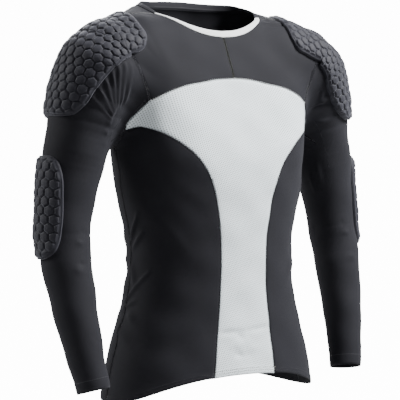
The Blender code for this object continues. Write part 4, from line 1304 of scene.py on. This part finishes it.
def pad_relief(flat, edge):
    """Height of the pad over the cloth, from the flat place and the distance to the edge."""
    groove = np.minimum(groove_distance(flat), np.maximum(edge - RIM_MARGIN, 0.0))
    climb = np.clip((groove - GROOVE_HALF) / CELL_SHOULDER, 0, 1)
    swell = np.sin(climb * math.pi / 2) ** SWELL_POWER
    crown = CELL_CROWN * smooth_step(groove, CELL_SHOULDER, CELL / 2)
    cells = GROOVE_HEIGHT + (CELL_HEIGHT - GROOVE_HEIGHT) * swell + crown
    across = np.clip(edge / RIM_WIDTH, 0, 1)
    rim_height = RIM_HEIGHT * np.sqrt(np.maximum(1 - (2 * across - 1) ** 2, 0.0))
    floor = GROOVE_HEIGHT * smooth_step(edge, RIM_WIDTH * RIM_CREST, RIM_WIDTH)
    return np.where(edge > RIM_MARGIN, cells, np.maximum(rim_height, floor))


cell_top = pad_relief(np.array([[0.0, 0.0]]), np.array([0.03]))
print("height at a cell's middle, mm:", round(1000 * float(cell_top[0]), 1))

# %% Distance to a pad's edge
BATCH = 4000


def edge_of(points, loop):
    """Distance of flat points inside a closed loop from the loop."""
    start = loop[None]
    run = np.roll(loop, -1, axis=0)[None] - start
    nearest = np.empty(len(points))
    for first in range(0, len(points), BATCH):
        some = slice(first, first + BATCH)
        to = points[some, None] - start
        t = np.clip((to * run).sum(2) / (run * run).sum(2), 0.0, 1.0)
        nearest[some] = np.linalg.norm(to - t[:, :, None] * run, axis=2).min(axis=1)
    return nearest


print("edge distances are worked out", BATCH, "points at a time")

# %% Pad meshes
PAD_STEP = 0.0012
# the pad's rim starts this far under the cloth, so that no gap shows
PAD_SINK = 0.0006
OUTLINE_SKIP = 6


def pad_piece(name, chart, outline, half):
    """Foam pad as rings that shrink from the outline to the middle."""
    outline = np.asarray(outline, float) / 1000
    closed = np.vstack([outline, outline[:1]])
    around = np.linalg.norm(np.diff(closed, axis=0), axis=1).sum()
    loop = along(closed, round(around / PAD_STEP))[:-1]
    middle = (loop.max(axis=0) + loop.min(axis=0)) / 2
    rows = round(np.linalg.norm(loop - middle, axis=1).mean() / PAD_STEP)
    cols = len(loop)
    share = 1 - np.arange(rows) / rows
    flat = (middle + share[:, None, None] * (loop - middle)[None]).reshape(-1, 2)
    edge = edge_of(flat, loop[::OUTLINE_SKIP])
    edge[:cols] = 0.0
    height = pad_relief(flat, edge)
    height[:cols] = -PAD_SINK
    points, way = on_cloth(half(chart.place(flat)))
    points = points + height[:, None] * way
    ring = np.arange(cols)
    after = np.roll(ring, -1)
    faces = [row * cols + np.stack([ring, after, after + cols, ring + cols], axis=1)
             for row in range(rows - 1)]
    last = (rows - 1) * cols
    hub = np.stack([last + ring, last + after, np.full(cols, rows * cols)], axis=1)
    points = np.vstack([points, points[-cols:].mean(axis=0)])
    piece = new_piece(name, points, np.vstack(faces).tolist() + hub.tolist(), PAD_COVER)
    mesh = piece.data
    set_grain(mesh, np.vstack([flat, middle]))
    mesh.polygons.foreach_set("use_smooth", np.ones(len(mesh.polygons), bool))
    hub_face = mesh.polygons[-1]
    if hub_face.normal.dot(Vector(outward(np.array([tuple(hub_face.center)]))[0])) < 0:
        mesh.flip_normals()
    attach(piece, "root")
    print(name, "has", len(mesh.polygons), "faces")
    return piece


FRONTS = {"left": SHOULDER_LEFT, "right": SHOULDER_RIGHT}
for word, half in HALVES.items():
    shown["shoulder_pad_" + word] = pad_piece("shoulder_foam_" + word, shoulder_chart,
                                              FRONTS[word] + SHOULDER_BACK, half)
for word, half in HALVES.items():
    shown["elbow_pad_" + word] = pad_piece("elbow_foam_" + word, elbow_chart, ELBOW, half)

# %% [markdown]
# ## Sewing
# The panels are joined edge to edge with flat seams, so that nothing rubs: a zigzag thread crosses
# the join and a row of short stitches runs on each side. The hem and the cuffs are turned in and
# held by two rows. Stitches could be painted on, but bars catch the light along each seam. A stitch
# is a thin bar with pointed ends, and threads of one colour are one object.
# The thread is drawn about twice as thick as a real one, or it would be lost between pixels.

# %% Threads along a line
THREAD_RADIUS = 0.00034
STITCH = 0.0030
STITCH_GAP = 0.0012
ZIGZAG_STEP = 0.0022
ZIGZAG_HALF = 0.0017


def seam_frame(curve, spacing):
    """Even points along a line on the form, and their ways along and aside."""
    steps = np.linalg.norm(np.diff(curve, axis=0), axis=1)
    length = np.concatenate([[0.0], np.cumsum(steps)])
    at = np.arange(0.0, length[-1], spacing)
    points = np.column_stack([np.interp(at, length, curve[:, k]) for k in range(3)])
    ahead = np.gradient(points, axis=0)
    ahead /= np.linalg.norm(ahead, axis=1)[:, None]
    out = outward(points)
    out /= np.linalg.norm(out, axis=1)[:, None]
    return points, ahead, np.cross(ahead, out)


def bars(points, thick, lift):
    """Four-sided bars through rows of points that lie on the form."""
    count, length = points.shape[:2]
    raised, way = on_cloth(points, lift)
    ahead = np.gradient(raised, axis=1)
    ahead /= np.maximum(np.linalg.norm(ahead, axis=2), 1e-9)[..., None]
    aside = np.cross(ahead, way)
    ring = [way, aside, -way, -aside]
    corners = np.stack([raised + thick[None, :, None] * way_on for way_on in ring], axis=2)
    number = np.arange(count * length * 4).reshape(count, length, 4)
    here = number[:, :-1]
    there = number[:, 1:]
    faces = []
    for k in range(4):
        after = (k + 1) % 4
        wall = np.stack([here[..., k], here[..., after], there[..., after], there[..., k]], axis=-1)
        faces.append(wall.reshape(-1, 4))
    faces = np.concatenate(faces + [number[:, 0, ::-1], number[:, -1]])
    return corners.reshape(-1, 3), faces


print("thread is drawn", 2000 * THREAD_RADIUS, "mm thick")

# %% Stitches and zigzags
STITCH_SPANS = np.array([0.0, 0.25, 0.75, 1.0])
STITCH_THICK = np.array([0.25, 1.0, 1.0, 0.25])
STITCH_LIFT = 0.0002
ZIGZAG_LIFT = 0.0001


def stitch_row(curve, aside=0.0, lift=STITCH_LIFT, thick=THREAD_RADIUS):
    """Short stitches along a line, moved aside from it."""
    points, ahead, side = seam_frame(curve, STITCH + STITCH_GAP)
    spans = STITCH_SPANS * STITCH
    rows = points[:, None] + aside * side[:, None] + spans[None, :, None] * ahead[:, None]
    return bars(settle(rows, 2), thick * STITCH_THICK, lift)


def zigzag(curve):
    """One thread that crosses a join to and fro."""
    points, _, side = seam_frame(curve, ZIGZAG_STEP)
    swing = ZIGZAG_HALF * np.where(np.arange(len(points)) % 2, 1.0, -1.0)
    path = settle(points + swing[:, None] * side, 2)
    return bars(path[None], np.full(len(points), THREAD_RADIUS), ZIGZAG_LIFT)


def flat_seam(curve):
    """Zigzag and its two rows."""
    return [zigzag(curve), stitch_row(curve, ZIGZAG_HALF), stitch_row(curve, -ZIGZAG_HALF)]


def thread_piece(name, parts, material):
    """All threads of one colour as one object."""
    points = np.vstack([corners for corners, _ in parts])
    faces = []
    start = 0
    for corners, quad in parts:
        faces.append(quad + start)
        start += len(corners)
    piece = new_piece(name, points, np.vstack(faces).tolist(), material)
    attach(piece, "root")
    print(name, "has", len(piece.data.polygons), "faces")


def both_sides(curve):
    """A line of the left half and its mirror."""
    return [curve, mirrored(curve)]


print("one stitch and its gap, mm:", round(1000 * (STITCH + STITCH_GAP), 1))

# %% Black seams and hems
# distances of the sewn rows from the hem and from the cuff, and their place on the neck tapes
HEM_SEWN = (0.0065, 0.0110)
CUFF_SEWN = (0.0150, 0.0185)
TAPE_STITCH_LIFT = 0.0011
BACK_TAPE_SEWN = 0.3
FRONT_TAPE_SEWN = 0.25


def raised_line(grid, height):
    """Line at a height along the cloth over a grid's lower edge."""
    far = edge_distance(grid, "b")
    return np.array([[np.interp(height, far[:, column], grid[:, column, k]) for k in range(3)]
                     for column in range(grid.shape[1])])


def tape_line(table, low, count, share):
    """Line along a neck tape, at a share of its width."""
    return settle(low * (1 - share) + along(table[:, 3:], count) * share)


black_parts = []
for line in (armhole, side_seam, shoulder, sleeve_grid[:, UNDERARM]):
    for curve in both_sides(line):
        black_parts += flat_seam(curve)
for line in (strip_edge, wing_low):
    for curve in both_sides(line):
        black_parts.append(stitch_row(curve))
        black_parts.append(zigzag(curve))
for height in HEM_SEWN:
    for curve in both_sides(raised_line(side_grid, height)):
        black_parts.append(stitch_row(curve))
    black_parts.append(stitch_row(raised_line(back_grid, height)))
for height in CUFF_SEWN:
    for curve in both_sides(raised_line(sleeve_grid[::-1], height)):
        black_parts.append(stitch_row(curve))
for curve in both_sides(tape_line(NECK_BACK, neck_back, N_NAPE, BACK_TAPE_SEWN)):
    black_parts.append(stitch_row(curve, 0.0, TAPE_STITCH_LIFT))
thread_piece("black_stitches", black_parts, BLACK_THREAD)

# %% Grey and white seams
# the grey rows on the pale hem are its stitching, drawn thick to add painted shade of its groove
GREY_LIFT = 0.0003
HEM_THREAD_AND_SHADE = 2 * THREAD_RADIUS
WHITE_ASIDE = 0.0008

grey_parts = flat_seam(centre_seam)
# painted shade: the thick grey hem rows are stitching that also stands for the hem's shadow line
for height in HEM_SEWN:
    grey_parts.append(stitch_row(raised_line(strip_grid, height), 0.0, GREY_LIFT, HEM_THREAD_AND_SHADE))
thread_piece("grey_stitches", grey_parts, GREY_THREAD)

white_parts = []
for curve in both_sides(arc_all):
    white_parts += [stitch_row(curve, -WHITE_ASIDE), zigzag(curve)]
for curve in both_sides(tape_line(NECK_FRONT, neck_front, N_NECK, FRONT_TAPE_SEWN)):
    white_parts.append(stitch_row(curve, 0.0, TAPE_STITCH_LIFT))
thread_piece("white_stitches", white_parts, WHITE_THREAD)

# %% [markdown]
# ## Places in the shared part
# Each piece now takes the place of its solid, which is hidden. A pad is padded, and a panel is a
# sheet that lies stretched.

# %% Every piece takes its solid's place
for node, piece in shown.items():
    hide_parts(node)
print("pieces shown:", len(shown))

# %% [markdown]
# ## Floor, light and sky
# The shirt hangs in the air where its wearer would be, over a plain pale floor. A large soft box
# high on the right is the key light, and a weak wide one in front fills. Two more behind draw the
# edges of the sleeves and light the inside of the neck. A picture of a studio could light it too,
# but each soft box can be moved alone. The sky adds a little light from all round, and it and the
# floor look plain white to the camera, as a studio's background does.

# %% Floor
FLOOR_HEIGHT = -1.50
FLOOR_HALF = 40.0
WHITE_GLOW = 14.0


def stage_floor():
    """A wide plain floor."""
    material, tree, shader = finish("pale_floor")
    shader.inputs["Base Color"].default_value = colour("#b4b4b4")
    shader.inputs["Roughness"].default_value = 0.9
    shader.inputs["Emission Color"].default_value = colour("#ffffff")
    in_view = add(tree, "ShaderNodeLightPath").outputs["Is Camera Ray"]
    glow = add(tree, "ShaderNodeMath", {0: in_view, 1: WHITE_GLOW}, operation="MULTIPLY")
    tree.links.new(glow.outputs[0], shader.inputs["Emission Strength"])
    corners = FLOOR_HALF * np.array([(-1, -1, 0), (1, -1, 0), (1, 1, 0), (-1, 1, 0)])
    floor = new_piece("floor", corners, [(0, 1, 2, 3)], material)
    floor.location = (0.0, 0.0, FLOOR_HEIGHT)


stage_floor()
print("floor at height", FLOOR_HEIGHT)

# %% Soft boxes
LIGHT_AIM = Vector((0.0, 0.0, -0.3))


def soft_light(name, place, size, watts):
    """A square soft box that faces the middle of the shirt."""
    lamp = bpy.data.lights.new(name, "AREA")
    lamp.size = size
    lamp.energy = watts
    box = bpy.data.objects.new(name, lamp)
    box.location = place
    box.rotation_euler = (LIGHT_AIM - Vector(place)).to_track_quat("-Z", "Y").to_euler()
    bpy.context.scene.collection.objects.link(box)


soft_light("key_light", (2.00, -1.75, 2.30), 1.2, 490)
soft_light("fill_light", (-1.6, -3.0, 0.4), 2.4, 4)
soft_light("rim_light", (-2.3, 2.0, 1.0), 1.4, 90)
soft_light("back_light", (1.4, 2.8, 1.5), 2.0, 110)

# %% Sky
SKY_STRENGTH = 0.29
sky = bpy.data.worlds.new("pale_sky")
sky.use_nodes = True
sky_tree = sky.node_tree
sky_tree.nodes.clear()
seen = add(sky_tree, "ShaderNodeLightPath").outputs["Is Camera Ray"]
white = colour("#ffffff")
lit = add(sky_tree, "ShaderNodeBackground", {"Color": white, "Strength": SKY_STRENGTH})
plain = add(sky_tree, "ShaderNodeBackground", {"Color": white, "Strength": WHITE_GLOW})
either = add(sky_tree, "ShaderNodeMixShader", {0: seen, 1: lit.outputs[0], 2: plain.outputs[0]})
add(sky_tree, "ShaderNodeOutputWorld", {"Surface": either.outputs[0]})
bpy.context.scene.world = sky
print("sky lights the shirt with strength", SKY_STRENGTH)

# %% [markdown]
# ## Camera
# The camera is level, a little below the chest and 35 degrees to the wearer's right. It could be
# tilted to centre the shirt, but then upright lines would lean, so the lens is shifted instead.

# %% Camera
CAMERA_TURN = math.radians(-35)
CAMERA_DISTANCE = 3.0
CAMERA_HEIGHT = -0.235
FOCAL_PIXELS = 1685.4
FRAME_PIXELS = 400
SHIFT_PIXELS = (-7.5, -60)
lens = bpy.data.cameras.new("camera")
lens.sensor_width = 36.0
lens.lens = FOCAL_PIXELS * lens.sensor_width / FRAME_PIXELS
lens.shift_x, lens.shift_y = (shift / FRAME_PIXELS for shift in SHIFT_PIXELS)
camera = bpy.data.objects.new("camera", lens)
camera.location = (CAMERA_DISTANCE * math.sin(CAMERA_TURN),
                   -CAMERA_DISTANCE * math.cos(CAMERA_TURN), CAMERA_HEIGHT)
camera.rotation_euler = (math.radians(90), 0.0, CAMERA_TURN)
bpy.context.scene.collection.objects.link(camera)
bpy.context.scene.camera = camera
print("lens, mm:", round(lens.lens, 1))
